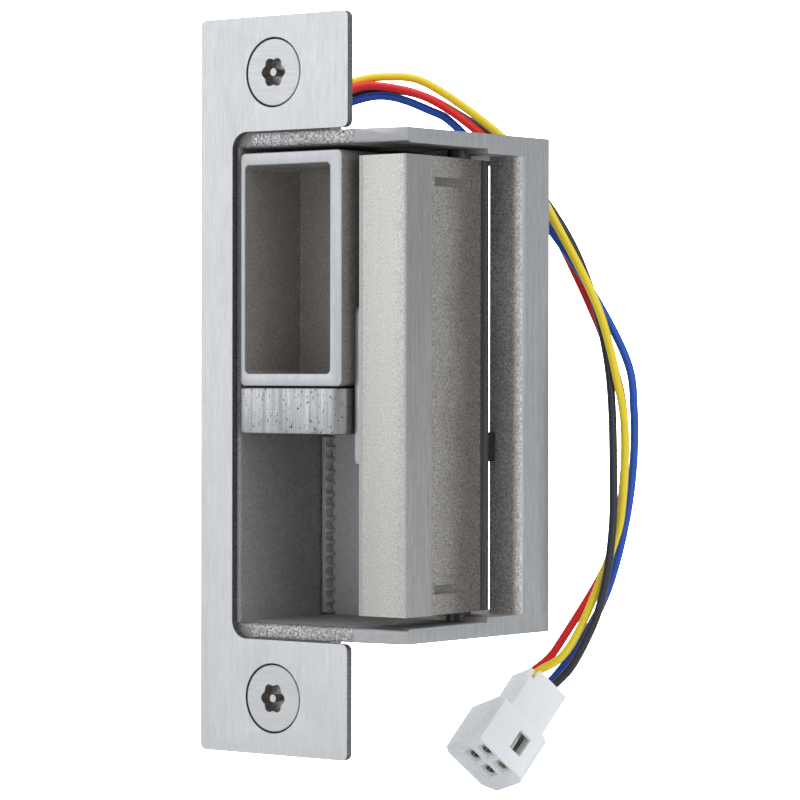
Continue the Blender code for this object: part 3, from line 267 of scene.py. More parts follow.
def arc(cx, cy, radius, start_deg, end_deg, steps):
    """Points on an arc, both ends included."""
    angles = [radians(start_deg + (end_deg - start_deg) * i / steps) for i in range(steps + 1)]
    return [(cx + radius * cos(a), cy + radius * sin(a)) for a in angles]


def rounded_rectangle(left, right, low, high, radius, steps=8):
    """Outline of a rectangle with equal rounded corners."""
    return (
        arc(right - radius, low + radius, radius, -90, 0, steps)
        + arc(right - radius, high - radius, radius, 0, 90, steps)
        + arc(left + radius, high - radius, radius, 90, 180, steps)
        + arc(left + radius, low + radius, radius, 180, 270, steps)
    )


def circle(cx, cy, radius, sides=48):
    """Outline of a circle."""
    return arc(cx, cy, radius, 0, 360 - 360 / sides, sides - 1)


def along(axis):
    """Function from outline coordinates u, v and height w to a design point, for a named axis."""
    order = {"X": lambda u, v, w: (w, u, v), "Y": lambda u, v, w: (u, w, v), "Z": lambda u, v, w: (u, v, w)}
    return order[axis]


def to_row(point):
    """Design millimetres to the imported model's metres."""
    return (Vector(point) + Vector((SHIFT_X, 0, 0))) * MM


def finish(name, bm):
    """Turn a bmesh into a smooth-shaded object with outward normals."""
    bmesh.ops.recalc_face_normals(bm, faces=bm.faces)
    mesh = bpy.data.meshes.new(name)
    bm.to_mesh(mesh)
    bm.free()
    obj = bpy.data.objects.new(name, mesh)
    bpy.context.collection.objects.link(obj)
    smooth(obj)
    return obj


def smooth(obj, angle_deg=35):
    """Smooth shading with sharp edges kept."""
    obj.data.shade_smooth()
    obj.data.set_sharp_from_angle(angle=radians(angle_deg))


def prism(name, outline, low, high, place):
    """Closed prism over an outline; place maps (u, v, w) to a design point or names an axis."""
    place = along(place) if isinstance(place, str) else place
    bm = bmesh.new()
    bottom = [bm.verts.new(to_row(place(u, v, low))) for u, v in outline]
    top = [bm.verts.new(to_row(place(u, v, high))) for u, v in outline]
    bm.faces.new(bottom)
    bm.faces.new(top)
    for i in range(len(outline)):
        j = (i + 1) % len(outline)
        bm.faces.new((bottom[i], bottom[j], top[j], top[i]))
    return finish(name, bm)


def block(name, low, high, place="Z"):
    """Box between two corners."""
    outline = [(low[0], low[1]), (high[0], low[1]), (high[0], high[1]), (low[0], high[1])]
    return prism(name, outline, low[2], high[2], place)


def lathe(name, profile, centre, axis, sides=48, ring=False):
    """Turned piece: profile is (radius, height) pairs, a closed loop when ring is true."""
    place = along(axis)
    bm = bmesh.new()
    loops = []
    for radius, height in profile:
        loop = []
        for i in range(sides if radius > 0 else 1):
            turn = 2 * pi * i / sides
            point = Vector(place(radius * cos(turn), radius * sin(turn), height)) + Vector(centre)
            loop.append(bm.verts.new(to_row(point)))
        loops.append(loop)
    pairs = list(zip(loops, loops[1:]))
    if ring:
        pairs.append((loops[-1], loops[0]))
    for lower, upper in pairs:
        for i in range(sides):
            j = (i + 1) % sides
            corners = [lower[i % len(lower)], lower[j % len(lower)]]
            corners += [upper[j % len(upper)], upper[i % len(upper)]]
            corners = list(dict.fromkeys(corners))
            if len(corners) > 2:
                bm.faces.new(corners)
    return finish(name, bm)


def rod(name, centre, axis, radius, low, high, sides=48, chamfer=0.0):
    """Round bar along an axis, with optional end chamfers."""
    profile = [(0, low), (radius - chamfer, low), (radius, low + chamfer)]
    profile += [(radius, high - chamfer), (radius - chamfer, high), (0, high)]
    if not chamfer:
        profile = [(0, low), (radius, low), (radius, high), (0, high)]
    return lathe(name, profile, centre, axis, sides)


def threaded(name, centre, axis, radius, pitch, low, high, sides=24):
    """Bar with a helical thread, from low to high along the axis."""
    place = along(axis)
    steps = int((high - low) / pitch * 8)
    bm = bmesh.new()
    loops = []
    for k in range(steps + 1):
        height = low + (high - low) * k / steps
        fade = min(1.0, (steps - k) / 8)
        loop = []
        for i in range(sides):
            phase = (height / pitch - i / sides) % 1
            crest = radius - 0.55 * pitch * abs(2 * phase - 1) - 0.25 * pitch * (1 - fade)
            turn = 2 * pi * i / sides
            point = Vector(place(crest * cos(turn), crest * sin(turn), height)) + Vector(centre)
            loop.append(bm.verts.new(to_row(point)))
        loops.append(loop)
    bm.faces.new(loops[0])
    bm.faces.new(loops[-1])
    for lower, upper in zip(loops, loops[1:]):
        for i in range(sides):
            j = (i + 1) % sides
            bm.faces.new((lower[i], lower[j], upper[j], upper[i]))
    obj = finish(name, bm)
    smooth(obj, 75)
    return obj


def sweep(name, points, radius, sides=14):
    """Round bar swept along a polyline of design points, with closed ends."""
    bm = bmesh.new()
    path = [Vector(p) for p in points]
    side = None
    rings = []
    for i, point in enumerate(path):
        tangent = (path[min(i + 1, len(path) - 1)] - path[max(i - 1, 0)]).normalized()
        if side is None:
            side = tangent.orthogonal().normalized()
        side = (side - tangent * side.dot(tangent)).normalized()
        other = tangent.cross(side)
        ring = []
        for k in range(sides):
            turn = 2 * pi * k / sides
            ring.append(bm.verts.new(to_row(point + (side * cos(turn) + other * sin(turn)) * radius)))
        rings.append(ring)
    for lower, upper in zip(rings, rings[1:]):
        for k in range(sides):
            m = (k + 1) % sides
            bm.faces.new((lower[k], lower[m], upper[m], upper[k]))
    bm.faces.new(rings[0])
    bm.faces.new(rings[-1])
    obj = finish(name, bm)
    smooth(obj, 60)
    return obj


def smooth_path(points, steps):
    """Catmull-Rom curve through the points, with steps pieces between each two."""
    path = [Vector(p) for p in points]
    path = [path[0] * 2 - path[1]] + path + [path[-1] * 2 - path[-2]]
    curve = []
    for a, b, c, d in zip(path, path[1:], path[2:], path[3:]):
        for i in range(steps):
            t = i / steps
            curve.append(
                b
                + (c - a) * (0.5 * t)
                + (a * 2 - b * 5 + c * 4 - d) * (0.5 * t * t)
                + (b * 3 - a - c * 3 + d) * (0.5 * t * t * t)
            )
    curve.append(path[-2])
    return curve


def helix(centre, radius, low, high, turns, steps):
    """Points on an upright coil."""
    total = int(turns * steps)
    points = []
    for i in range(total + 1):
        turn = 2 * pi * i / steps
        height = low + (high - low) * i / total
        points.append((centre[0] + radius * cos(turn), centre[1] + radius * sin(turn), height))
    return points


def boolean(target, operation, tools):
    """Apply exact booleans with each tool in turn and remove the tools."""
    for tool in tools:
        modifier = target.modifiers.new("boolean", "BOOLEAN")
        modifier.operation = operation
        modifier.solver = "EXACT"
        modifier.object = tool
        apply_modifiers(target)
        bpy.data.objects.remove(tool, do_unlink=True)
    return target


def apply_modifiers(obj):
    """Replace an object's mesh by its evaluated one."""
    graph = bpy.context.evaluated_depsgraph_get()
    mesh = bpy.data.meshes.new_from_object(obj.evaluated_get(graph))
    obj.modifiers.clear()
    old = obj.data
    obj.data = mesh
    bpy.data.meshes.remove(old)
    mesh.name = obj.name


def cut(target, *tools):
    """Cut the tools from the target."""
    return boolean(target, "DIFFERENCE", tools)


def fuse(target, *tools):
    """Join the tools to the target."""
    return boolean(target, "UNION", tools)


def bevel(obj, width, segments=3, angle_deg=40):
    """Rounded edges, applied at once."""
    bm = bmesh.new()
    bm.from_mesh(obj.data)
    bmesh.ops.dissolve_limit(bm, angle_limit=radians(0.2), verts=bm.verts, edges=bm.edges)
    bm.to_mesh(obj.data)
    bm.free()
    modifier = obj.modifiers.new("edge rounding", "BEVEL")
    modifier.width = width * MM
    modifier.segments = segments
    modifier.limit_method = "ANGLE"
    modifier.angle_limit = radians(angle_deg)
    apply_modifiers(obj)
    smooth(obj, 30)
    return obj


def join(obj, *others):
    """Put other objects' meshes into one object, without a boolean."""
    bm = bmesh.new()
    for piece in (obj, *others):
        bm.from_mesh(piece.data)
    bm.to_mesh(obj.data)
    bm.free()
    for piece in others:
        bpy.data.objects.remove(piece, do_unlink=True)
    return obj


# ---------------------------------------------------------------- materials


class Shader:
    """Small helper that wires one Principled material's nodes."""

    def __init__(self, name):
        self.made = bpy.data.materials.new(name)
        self.made.use_nodes = True
        self.nodes = self.made.node_tree.nodes
        self.links = self.made.node_tree.links
        self.shader = self.nodes["Principled BSDF"]
        self.place = self.nodes.new("ShaderNodeTexCoord").outputs["Object"]

    def feed(self, socket, value):
        """Link a socket or set a plain value."""
        if isinstance(value, bpy.types.NodeSocket):
            self.links.new(value, socket)
        elif isinstance(value, tuple) and len(value) == 3 and socket.type == "RGBA":
            socket.default_value = (*value, 1.0)
        else:
            socket.default_value = value

    def set(self, **inputs):
        """Set the Principled inputs by name, with underscores for spaces."""
        for key, value in inputs.items():
            self.feed(self.shader.inputs[key.replace("_", " ")], value)
        return self

    def noise(self, per_mm, detail=3.0, roughness=0.55):
        """Noise with its own number of features per millimetre along x, y and z."""
        mapping = self.nodes.new("ShaderNodeMapping")
        self.feed(mapping.inputs["Vector"], self.place)
        mapping.inputs["Scale"].default_value = [count / MM for count in per_mm]
        made = self.nodes.new("ShaderNodeTexNoise")
        self.feed(made.inputs["Vector"], mapping.outputs["Vector"])
        made.inputs["Scale"].default_value = 1.0
        made.inputs["Detail"].default_value = detail
        made.inputs["Roughness"].default_value = roughness
        return made.outputs["Fac"]

    def ramp(self, value, low, high, low_out=0.0, high_out=1.0):
        """Value mapped from one range to another, clamped and eased."""
        made = self.nodes.new("ShaderNodeMapRange")
        made.interpolation_type = "SMOOTHSTEP"
        self.feed(made.inputs["Value"], value)
        for key, number in zip(("From Min", "From Max", "To Min", "To Max"), (low, high, low_out, high_out)):
            made.inputs[key].default_value = number
        return made.outputs["Result"]

    def math(self, operation, a, b=0.0):
        """Maths node."""
        made = self.nodes.new("ShaderNodeMath")
        made.operation = operation
        self.feed(made.inputs[0], a)
        self.feed(made.inputs[1], b)
        return made.outputs["Value"]

    def mix(self, share, a, b):
        """Colour between a and b."""
        made = self.nodes.new("ShaderNodeMix")
        made.data_type = "RGBA"
        self.feed(made.inputs["Factor"], share)
        self.feed(made.inputs["A"], a)
        self.feed(made.inputs["B"], b)
        return made.outputs["Result"]

    def axis(self, letter):
        """Object coordinate along x, y or z, in millimetres."""
        made = self.nodes.new("ShaderNodeSeparateXYZ")
        self.feed(made.inputs["Vector"], self.place)
        return self.math("MULTIPLY", made.outputs[letter], 1 / MM)

    def bump(self, height, strength, depth_mm):
        """Bump from a height value, into the Principled normal."""
        made = self.nodes.new("ShaderNodeBump")
        made.inputs["Strength"].default_value = strength
        made.inputs["Distance"].default_value = depth_mm * MM
        self.feed(made.inputs["Height"], height)
        self.feed(self.shader.inputs["Normal"], made.outputs["Normal"])
        return self


def brushed(name, colour, rough=0.36, along_axis="Z", contrast=0.09, metallic=1.0):
    """Metal with a fine straight grain along one axis."""
    s = Shader(name)
    stretch = {"X": (0.06, 1, 1), "Y": (1, 0.06, 1), "Z": (1, 1, 0.06)}[along_axis]
    fine = s.noise([5.0 * k for k in stretch], 2.0)
    broad = s.noise([1.3 * k for k in stretch], 3.0)
    cloud = s.noise((0.05, 0.05, 0.03), 3.0)
    grain = s.math("ADD", s.math("MULTIPLY", fine, 0.6), s.math("MULTIPLY", broad, 0.4))
    dark = tuple(c * (1 - contrast) for c in colour)
    light = tuple(min(1.0, c * (1 + contrast)) for c in colour)
    tone = s.mix(s.ramp(grain, 0.3, 0.7), dark, light)
    tone = s.mix(s.ramp(cloud, 0.35, 0.7, 0.0, 0.22), tone, dark)
    s.set(Base_Color=tone, Metallic=metallic, Roughness=s.ramp(grain, 0.3, 0.7, rough + 0.06, rough - 0.05))
    s.bump(grain, 0.22, 0.012)
    return s.made


def cast(name, colour, rough=0.6, contrast=0.22, grain_mm=4.0, metallic=0.85, bump=0.35):
    """Blasted cast metal with a sparkling grain."""
    s = Shader(name)
    fine = s.noise((grain_mm, grain_mm, grain_mm), 4.0, 0.7)
    patch = s.noise((0.35, 0.35, 0.35), 4.0)
    dark = tuple(c * (1 - contrast) for c in colour)
    light = tuple(min(1.0, c * (1 + contrast)) for c in colour)
    tone = s.mix(s.ramp(fine, 0.36, 0.64), dark, light)
    tone = s.mix(s.ramp(patch, 0.35, 0.7, 0.0, 0.35), tone, dark)
    s.set(Base_Color=tone, Metallic=metallic, Roughness=s.ramp(fine, 0.3, 0.7, rough + 0.08, rough - 0.1))
    s.bump(fine, bump, 0.06)
    return s.made


def burnished(name):
    """Ground block face with streaks, scratches and small pits."""
    s = Shader(name)
    streak = s.noise((1.6, 1.6, 0.05), 4.0, 0.65)
    fine = s.noise((7.0, 7.0, 0.25), 2.0)
    pits = s.noise((2.6, 2.6, 2.0), 2.0)
    tone = s.mix(s.ramp(streak, 0.3, 0.7), (0.35, 0.36, 0.38), (0.57, 0.58, 0.60))
    tone = s.mix(s.ramp(fine, 0.35, 0.7, 0.0, 0.4), tone, (0.3, 0.31, 0.33))
    turn = s.ramp(s.axis("X"), BLOCK_RIGHT + SHIFT_X - 3.0, BLOCK_RIGHT + SHIFT_X - 1.2, 0.0, 0.75)
    tone = s.mix(turn, tone, (0.27, 0.26, 0.25))
    hole = s.ramp(pits, 0.63, 0.69)
    tone = s.mix(hole, tone, (0.05, 0.05, 0.05))
    s.set(Base_Color=tone, Metallic=0.9, Roughness=s.ramp(streak, 0.3, 0.7, 0.5, 0.32))
    s.bump(s.math("SUBTRACT", s.math("MULTIPLY", streak, 0.5), hole), 0.35, 0.04)
    return s.made


def keeper_front(name):
    """Warm satin blasted steel of the keeper's front bar, with painted reflection and shade at its left edge."""
    s = Shader(name)
    fine = s.noise((4.5, 4.5, 4.5), 4.0, 0.75)
    band = s.noise((0.5, 0.5, 0.015), 2.0)
    tone = s.mix(s.ramp(fine, 0.34, 0.66), (0.40, 0.387, 0.365), (0.72, 0.70, 0.66))
    tone = s.mix(s.ramp(band, 0.3, 0.7, 0.0, 0.3), tone, (0.52, 0.505, 0.47))
    # Painted reflection: a dark bluish strip along the bar's left edge.
    left = s.ramp(s.axis("X"), KEEPER_LEFT + SHIFT_X + 0.95, KEEPER_LEFT + SHIFT_X + 1.15, 1.0, 0.0)
    tone = s.mix(s.math("MULTIPLY", left, 0.45), tone, (0.33, 0.34, 0.36))
    # Painted shade: the bar darkens towards its left edge, fading out over 8 mm.
    fade = s.ramp(s.axis("X"), KEEPER_LEFT + SHIFT_X, KEEPER_LEFT + SHIFT_X + 8.0, 0.3, 0.0)
    tone = s.mix(fade, tone, (0.36, 0.355, 0.35))
    s.set(Base_Color=tone, Metallic=0.85, Roughness=s.ramp(fine, 0.3, 0.7, 0.5, 0.38))
    s.bump(fine, 0.35, 0.04)
    return s.made


def keeper_grip(name):
    """Blasted grip zone, with painted shade darkening it towards the back."""
    s = Shader(name)
    fine = s.noise((3.6, 3.6, 3.6), 5.0, 0.75)
    patch = s.noise((0.12, 0.12, 0.07), 3.0)
    # Painted shade: the grip darkens towards the back, with a ragged edge from the noise.
    back = s.ramp(s.math("ADD", s.axis("Y"), s.math("MULTIPLY", patch, 9.0)), 14.0, 27.0)
    light = s.mix(s.ramp(fine, 0.36, 0.64), (0.23, 0.22, 0.20), (0.55, 0.53, 0.50))
    dark = s.mix(s.ramp(fine, 0.36, 0.64), (0.09, 0.075, 0.065), (0.26, 0.23, 0.21))
    s.set(Base_Color=s.mix(back, light, dark), Metallic=0.75, Roughness=s.ramp(fine, 0.3, 0.7, 0.7, 0.45))
    s.bump(fine, 0.45, 0.07)
    return s.made


def plastic(name, colour, rough=0.4, speck=0.06, **inputs):
    """Moulded plastic, rubber or wire insulation with a faint mottle."""
    s = Shader(name)
    fine = s.noise((2.5, 2.5, 2.5), 3.0)
    broad = s.noise((0.25, 0.25, 0.25), 2.0)
    dark = tuple(c * (1 - speck) for c in colour)
    light = tuple(min(1.0, c * (1 + speck)) for c in colour)
    tone = s.mix(s.ramp(s.math("ADD", s.math("MULTIPLY", fine, 0.5), s.math("MULTIPLY", broad, 0.5)), 0.35, 0.65),
                 dark, light)
    s.set(Base_Color=tone, Roughness=s.ramp(fine, 0.3, 0.7, rough + 0.05, rough - 0.05), **inputs)
    s.bump(fine, 0.12, 0.02)
    return s.made


def winding(name):
    """Varnished copper winding, its turns shown by painted shade between them and a painted highlight on each."""
    s = Shader(name)
    # Painted shade and highlight: dark creases and light crowns alternate every 0.3 mm up the coil.
    turns = s.math("SINE", s.math("MULTIPLY", s.axis("Z"), 2 * pi / 0.3))
    shade = s.ramp(turns, -1.0, 1.0)
    s.set(Base_Color=s.mix(shade, (0.22, 0.07, 0.025), (0.72, 0.33, 0.14)), Metallic=0.8, Roughness=0.32)
    s.bump(shade, 0.6, 0.08)
    return s.made


def paint(obj, *made):
    """Give an object its materials, in slot order."""
    obj.data.materials.clear()
    for one in made:
        obj.data.materials.append(one)
    return obj


def assign(obj, chooser):
    """Set each face's slot from a function of its centre (design millimetres) and normal."""
    for face in obj.data.polygons:
        centre = face.center / MM - Vector((SHIFT_X, 0, 0))
        face.material_index = chooser(centre, face.normal)
    return obj


def show(obj, body, node):
    """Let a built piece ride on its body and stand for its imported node."""
    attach(obj, body)
    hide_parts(node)
    return obj


# ---------------------------------------------------------------- faceplate and its screws


def faceplate_outline():
    """C-shaped outline, anticlockwise from the lower left corner."""
    right = PLATE_WIDTH / 2
    top = PLATE_HEIGHT / 2
    r = PLATE_CORNER
    c = CUTOUT_CORNER
    cut_top = CUTOUT_HALF_HEIGHT
    points = arc(-right + r, -top + r, r, 180, 270, 8)
    points += arc(right - r, -top + r, r, 270, 360, 8)
    points += arc(right - r, -cut_top - r, r, 0, 90, 8)
    points += arc(CUTOUT_LEFT + c, -cut_top + c, c, 270, 180, 12)
    points += arc(CUTOUT_LEFT + c, cut_top - c, c, 180, 90, 12)
    points += arc(right - r, cut_top + r, r, 270, 360, 8)
    points += arc(right - r, top - r, r, 0, 90, 8)
    points += arc(-right + r, top - r, r, 90, 180, 8)
    return points


def build_faceplate():
    """Stamped plate with two formed countersinks."""
    plate = prism("plate_look", faceplate_outline(), 0, PLATE_THICKNESS, "Y")
    seat = HEAD_RADIUS + 0.3
    foot = SHANK_RADIUS + 0.35
    depth = HEAD_DEPTH + 0.2
    for z in (-SCREW_Z, SCREW_Z):
        cone = [(0, 0.6), (seat + 0.5, 0.6), (seat + 0.35, PLATE_THICKNESS + 0.2), (foot + 1, depth), (0, depth)]
        fuse(plate, lathe("dimple", cone, (0, 0, z), "Y"))
        sink = [(0, -1), (seat + 0.2, -1), (seat, 0), (seat - 0.05, 0.35)]
        sink += [(foot, depth - 0.3), (foot, depth + 1), (0, depth + 1)]
        cut(plate, lathe("countersink", sink, (0, 0, z), "Y"))
    bevel(plate, 0.3, 3, 50)
    return assign(plate, plate_slot)


def plate_slot(centre, normal):
    """0 faces, 1 edges and countersinks."""
    return 1 if abs(normal.y) < 0.985 else 0


def star_outline(radius, cz):
    """Six-lobed recess outline."""
    points = []
    for i in range(72):
        turn = 2 * pi * i / 72 + 0.25
        reach = radius * (0.82 + 0.18 * abs(cos(3 * turn)) ** 1.4 * 1.0)
        points.append((reach * cos(turn), cz + reach * sin(turn)))
    return points


def build_mounting_screw(name, z):
    """Flat-head machine screw with a pin-in-star recess and a threaded shank."""
    r = HEAD_RADIUS
    profile = [(0, 0.05), (r - 0.12, 0.05), (r, 0.15), (r, 0.35), (SHANK_RADIUS - 0.1, HEAD_DEPTH)]
    profile += [(SHANK_RADIUS - 0.5, HEAD_DEPTH + 0.6), (0, HEAD_DEPTH + 0.6)]
    head = lathe(name, profile, (0, 0, z), "Y", 72)
    recess = prism("recess", star_outline(RECESS_RADIUS, z), -1, RECESS_DEPTH, "Y")
    cut(recess, rod("pin", (0, 0, z), "Y", RECESS_PIN_RADIUS, -2, RECESS_DEPTH + 1, 16))
    cut(head, recess)
    smooth(head, 30)
    shank = threaded("shank", (0, 0, z), "Y", SHANK_RADIUS, 1.06, HEAD_DEPTH + 0.4, SCREW_LENGTH)
    centre = Vector((0, z))

    def in_recess(place, normal):
        near = (Vector((place.x, place.z)) - centre).length < RECESS_RADIUS + 0.1
        return 1 if near and 0.12 < place.y < RECESS_DEPTH + 0.2 else 0

    return assign(join(head, shank), in_recess)


# ---------------------------------------------------------------- frame


def frame_outline():
    """Outer outline of the casting seen from above."""
    return [
        (FRAME_LEFT, FRAME_FRONT),
        (PLATE_WIDTH / 2 + GAP, FRAME_FRONT),
        (PLATE_WIDTH / 2 + GAP, RAIL_FRONT),
        (FRAME_RIGHT, RAIL_TIP_FRONT),
        (FRAME_RIGHT, FRAME_BACK),
        (FRAME_LEFT, FRAME_BACK),
    ]


def cavity_outline():
    """The latch cavity from above, open to the front and the right."""
    right = FRAME_RIGHT + 5
    return [(CAVITY_LEFT, -5), (right, -5), (right, REAR_STEP_Y), (WEB_RIGHT, REAR_STEP_Y),
            (WEB_RIGHT, WEB_FRONT), (CAVITY_LEFT, WEB_FRONT)]


def rear_outline():
    """The keeper's room behind the latch cavity and the open back between web and post, from above."""
    corner_x = FRAME_RIGHT - POST_ROUND
    corner_y = POST_FRONT + POST_ROUND
    return (
        [(WEB_RIGHT, REAR_STEP_Y - 1), (FRAME_RIGHT + 5, REAR_STEP_Y - 1), (FRAME_RIGHT + 5, corner_y)]
        + arc(corner_x, corner_y, POST_ROUND, 0, -90, 8)
        + [(POST_LEFT, POST_FRONT), (POST_LEFT, FRAME_BACK + 5), (WEB_RIGHT, FRAME_BACK + 5)]
    )


def cut_cavities(body):
    """Hollow the casting: latch cavity, keeper's room, solenoid bay, cover rebate."""
    h = WINDOW_HALF_HEIGHT
    cut(body, prism("cavity", cavity_outline(), -h, h, "Z"))
    cut(body, prism("rear", rear_outline(), -REAR_HALF_HEIGHT, REAR_HALF_HEIGHT, "Z"))
    cut(body, block("bay", (BAY_LEFT, WEB_BACK, -h), (BAY_RIGHT, FRAME_BACK + 5, h)))
    low = (BAY_RIGHT - 1, WEB_BACK, -h)
    cut(body, block("bay foot", low, (WEB_RIGHT + 1, FRAME_BACK + 5, BAY_WALL_BOTTOM)))
    low = (COVER_LEFT - GAP, FRAME_BACK - REBATE, COVER_LOW - GAP)
    high = (COVER_RIGHT + GAP, FRAME_BACK + 5, COVER_HIGH + GAP)
    cut(body, block("rebate", low, high))


def add_ears(body):
    """Ears behind the faceplate, open around the formed countersinks."""
    for side in (-1, 1):
        low = min(side * (FRAME_HALF_HEIGHT - 1), side * EAR_TOP)
        high = max(side * (FRAME_HALF_HEIGHT - 1), side * EAR_TOP)
        outline = rounded_rectangle(-EAR_HALF_WIDTH, EAR_HALF_WIDTH, low, high, 0.9)
        fuse(body, prism("ear", outline, FRAME_FRONT, EAR_BACK, "Y"))
        hole = circle(0, side * SCREW_Z, EAR_HOLE_RADIUS, 48)
        cut(body, prism("ear hole", hole, FRAME_FRONT - 1, EAR_BACK + 1, "Y"))


def add_bosses(body):
    """Lugs for the flap pin, a boss for the lever pin and posts for the cover screws."""
    for side in (-1, 1):
        low = min(side * LUG_LOW, side * LUG_HIGH)
        high = max(side * LUG_LOW, side * LUG_HIGH)
        eye = arc(FLAP_X, FLAP_Y, 1.6, -90, 60, 12)
        outline = eye + [(13.4, 24.0), (12.9, WEB_BACK), (9.5, WEB_BACK), (9.5, WEB_FRONT + 0.4)]
        outline += [(11.1, WEB_FRONT + 0.4), (11.1, 19.2), (12.6, FLAP_Y - 1.4)]
        fuse(body, prism("lug", outline, low, high, "Z"))
        cut(body, rod("lug hole", (FLAP_X, FLAP_Y, 0), "Z", FLAP_PIN_RADIUS + 0.15, low - 1, high + 1, 24))
    fuse(body, rod("lever boss", (LEVER_X, 0, LEVER_Z), "Y", 2.6, WEB_FRONT + 1, 34.6, 32))
    cut(body, rod("lever hole", (LEVER_X, 0, LEVER_Z), "Y", LEVER_PIN_RADIUS + 0.15, 29.6, 36, 32))
    for x, z in COVER_SCREWS:
        fuse(body, rod("cover post", (x, 0, z), "Y", 2.3, WEB_FRONT + 1, FRAME_BACK - REBATE, 32))
        cut(body, rod("cover hole", (x, 0, z), "Y", 1.35, 33.0, FRAME_BACK + 1, 24))


def cut_holes(body):
    """Holes for the hinge pin, screws, lever nose, cable and wires, and the clamp screw's slot."""
    cut(body, rod("pin hole", (PIVOT_X, PIVOT_Y, 0), "Z", PIN_RADIUS + 0.12, -50, 50, 32))
    cut(body, block("nose window", (8, 34.6, -19.6), (11.5, 37.9, -7.6)))
    left = BLOCK_SCREW_X - SLOT_HALF_WIDTH
    right = BLOCK_SCREW_X + SLOT_HALF_WIDTH
    low = BLOCK_SCREW_Z - BLOCK_TRAVEL - SLOT_HALF_WIDTH - 0.2
    high = BLOCK_SCREW_Z + SLOT_HALF_WIDTH + 0.2
    slot = rounded_rectangle(left, right, low, high, SLOT_HALF_WIDTH - 0.05, 10)
    cut(body, prism("clamp slot", slot, WEB_FRONT - 1, WEB_BACK + 1, "Y"))
    for z in INSERT_SCREW_Z:
        cut(body, rod("insert hole", (INSERT_SCREW_X, 0, z), "Y", 1.8, WEB_FRONT - 1, WEB_BACK + 1, 24))
    for z in (YOKE_LOW + 9.0, YOKE_HIGH - 9.0):
        sink = [(0, FRAME_LEFT - 1), (3.0, FRAME_LEFT - 1), (2.75, FRAME_LEFT)]
        sink += [(1.45, FRAME_LEFT + 1.4), (1.45, BAY_LEFT + 1), (0, BAY_LEFT + 1)]
        cut(body, lathe("solenoid hole", sink, (0, COIL_Y, z), "X", 32))
    cut(body, rod("cable hole", (0, GROMMET_Y, GROMMET_Z), "X", 3.1, FRAME_LEFT - 1, BAY_LEFT + 1, 32))
    cut(body, rod("wire hole", (-6.0, 0, 35.2), "Y", 1.9, WEB_FRONT - 1, WEB_BACK + 1, 24))


def round_rail_edges(body, width):
    """Wide rounding along the rails' inner front edges."""
    bm = bmesh.new()
    bm.from_mesh(body.data)
    bmesh.ops.dissolve_limit(bm, angle_limit=radians(0.2), verts=bm.verts, edges=bm.edges)

    def on_edge(vert):
        near = abs(abs(vert.co.z) / MM - WINDOW_HALF_HEIGHT) < 0.02
        return near and RAIL_FRONT - 0.02 < vert.co.y / MM < RAIL_TIP_FRONT + 0.02

    edges = [edge for edge in bm.edges if all(on_edge(vert) for vert in edge.verts)]
    bmesh.ops.bevel(bm, geom=edges, offset=width * MM, segments=5, profile=0.5, affect="EDGES")
    bm.to_mesh(body.data)
    bm.free()


def frame_slot(centre, normal):
    """0 cast inside, 1 ground return face, 2 rail fronts, 3 rail tips, 4 outside, 5 post, 6 back plate."""
    if centre.x > FRAME_RIGHT - 0.35 and normal.x > 0.7:
        return 1
    if normal.y < -0.15 and centre.y < 3.9 and abs(centre.z) > WINDOW_HALF_HEIGHT - 0.1:
        return 3 if centre.x > PLATE_WIDTH / 2 + GAP else 2
    if abs(centre.z) > FRAME_HALF_HEIGHT - 0.2 or centre.x < FRAME_LEFT + 0.3 or centre.y > FRAME_BACK - 0.3:
        return 4
    if centre.x > POST_LEFT and POST_FRONT - 0.5 < centre.y < POST_FRONT + POST_ROUND + 0.2:
        return 5
    if normal.y < -0.7 and abs(centre.y - WEB_FRONT) < 0.4:
        return 6
    return 0


def build_frame():
    """Cast body: two rails, a web behind the latch cavity, a bay for the solenoid and a rear post."""
    body = prism("frame_look", frame_outline(), -FRAME_HALF_HEIGHT, FRAME_HALF_HEIGHT, "Z")
    left = CUTOUT_LEFT + CUTOUT_CORNER + GAP
    right = PLATE_WIDTH / 2 + GAP + 0.2
    for side in (-1, 1):
        low = min(side * (WINDOW_HALF_HEIGHT - 1), side * (FRAME_HALF_HEIGHT - 0.05))
        high = max(side * (WINDOW_HALF_HEIGHT - 1), side * (FRAME_HALF_HEIGHT - 0.05))
        fuse(body, block("rail face", (left, RAIL_FRONT, low), (right, FRAME_FRONT + 1, high)))
    cut_cavities(body)
    add_ears(body)
    add_bosses(body)
    cut_holes(body)
    round_rail_edges(body, 0.9)
    bevel(body, 0.3, 3, 50)
    return assign(body, frame_slot)


# ---------------------------------------------------------------- keeper


def keeper_outline():
    """Keeper section from above: lip, grip face, barrel round the pin, latch face."""
    x = FRAME_RIGHT
    points = [(KEEPER_LEFT, KEEPER_FRONT + 0.5), (KEEPER_LEFT + 0.25, KEEPER_FRONT + 0.18)]
    points += [(KEEPER_LEFT + 1.0, KEEPER_FRONT + 0.1), (KEEPER_LEFT + 1.06, KEEPER_FRONT)]
    points += [(KEEPER_LEFT + 3.2, KEEPER_FRONT - 0.1), (KEEPER_LEFT + 5.0, KEEPER_FRONT - 0.14)]
    points += [(x - 2.8, KEEPER_FRONT - 0.1), (x - 0.35, KEEPER_FRONT + 0.02)]
    points += [(x - 0.1, KEEPER_FRONT + 0.1), (x, KEEPER_FRONT + 0.35), (x, LIP_DEPTH - 0.15)]
    points += [(x - 0.06, LIP_DEPTH), (x - LIP_STEP, LIP_DEPTH + 0.4)]
    points += [(x - 0.8, 17.0), (x - 1.35, 22.0)]
    points += arc(PIVOT_X, PIVOT_Y, BARREL_RADIUS, -12, 200, 48)
    points += [(15.4, 20.8), (KEEPER_LEFT, 18.6)]
    return points


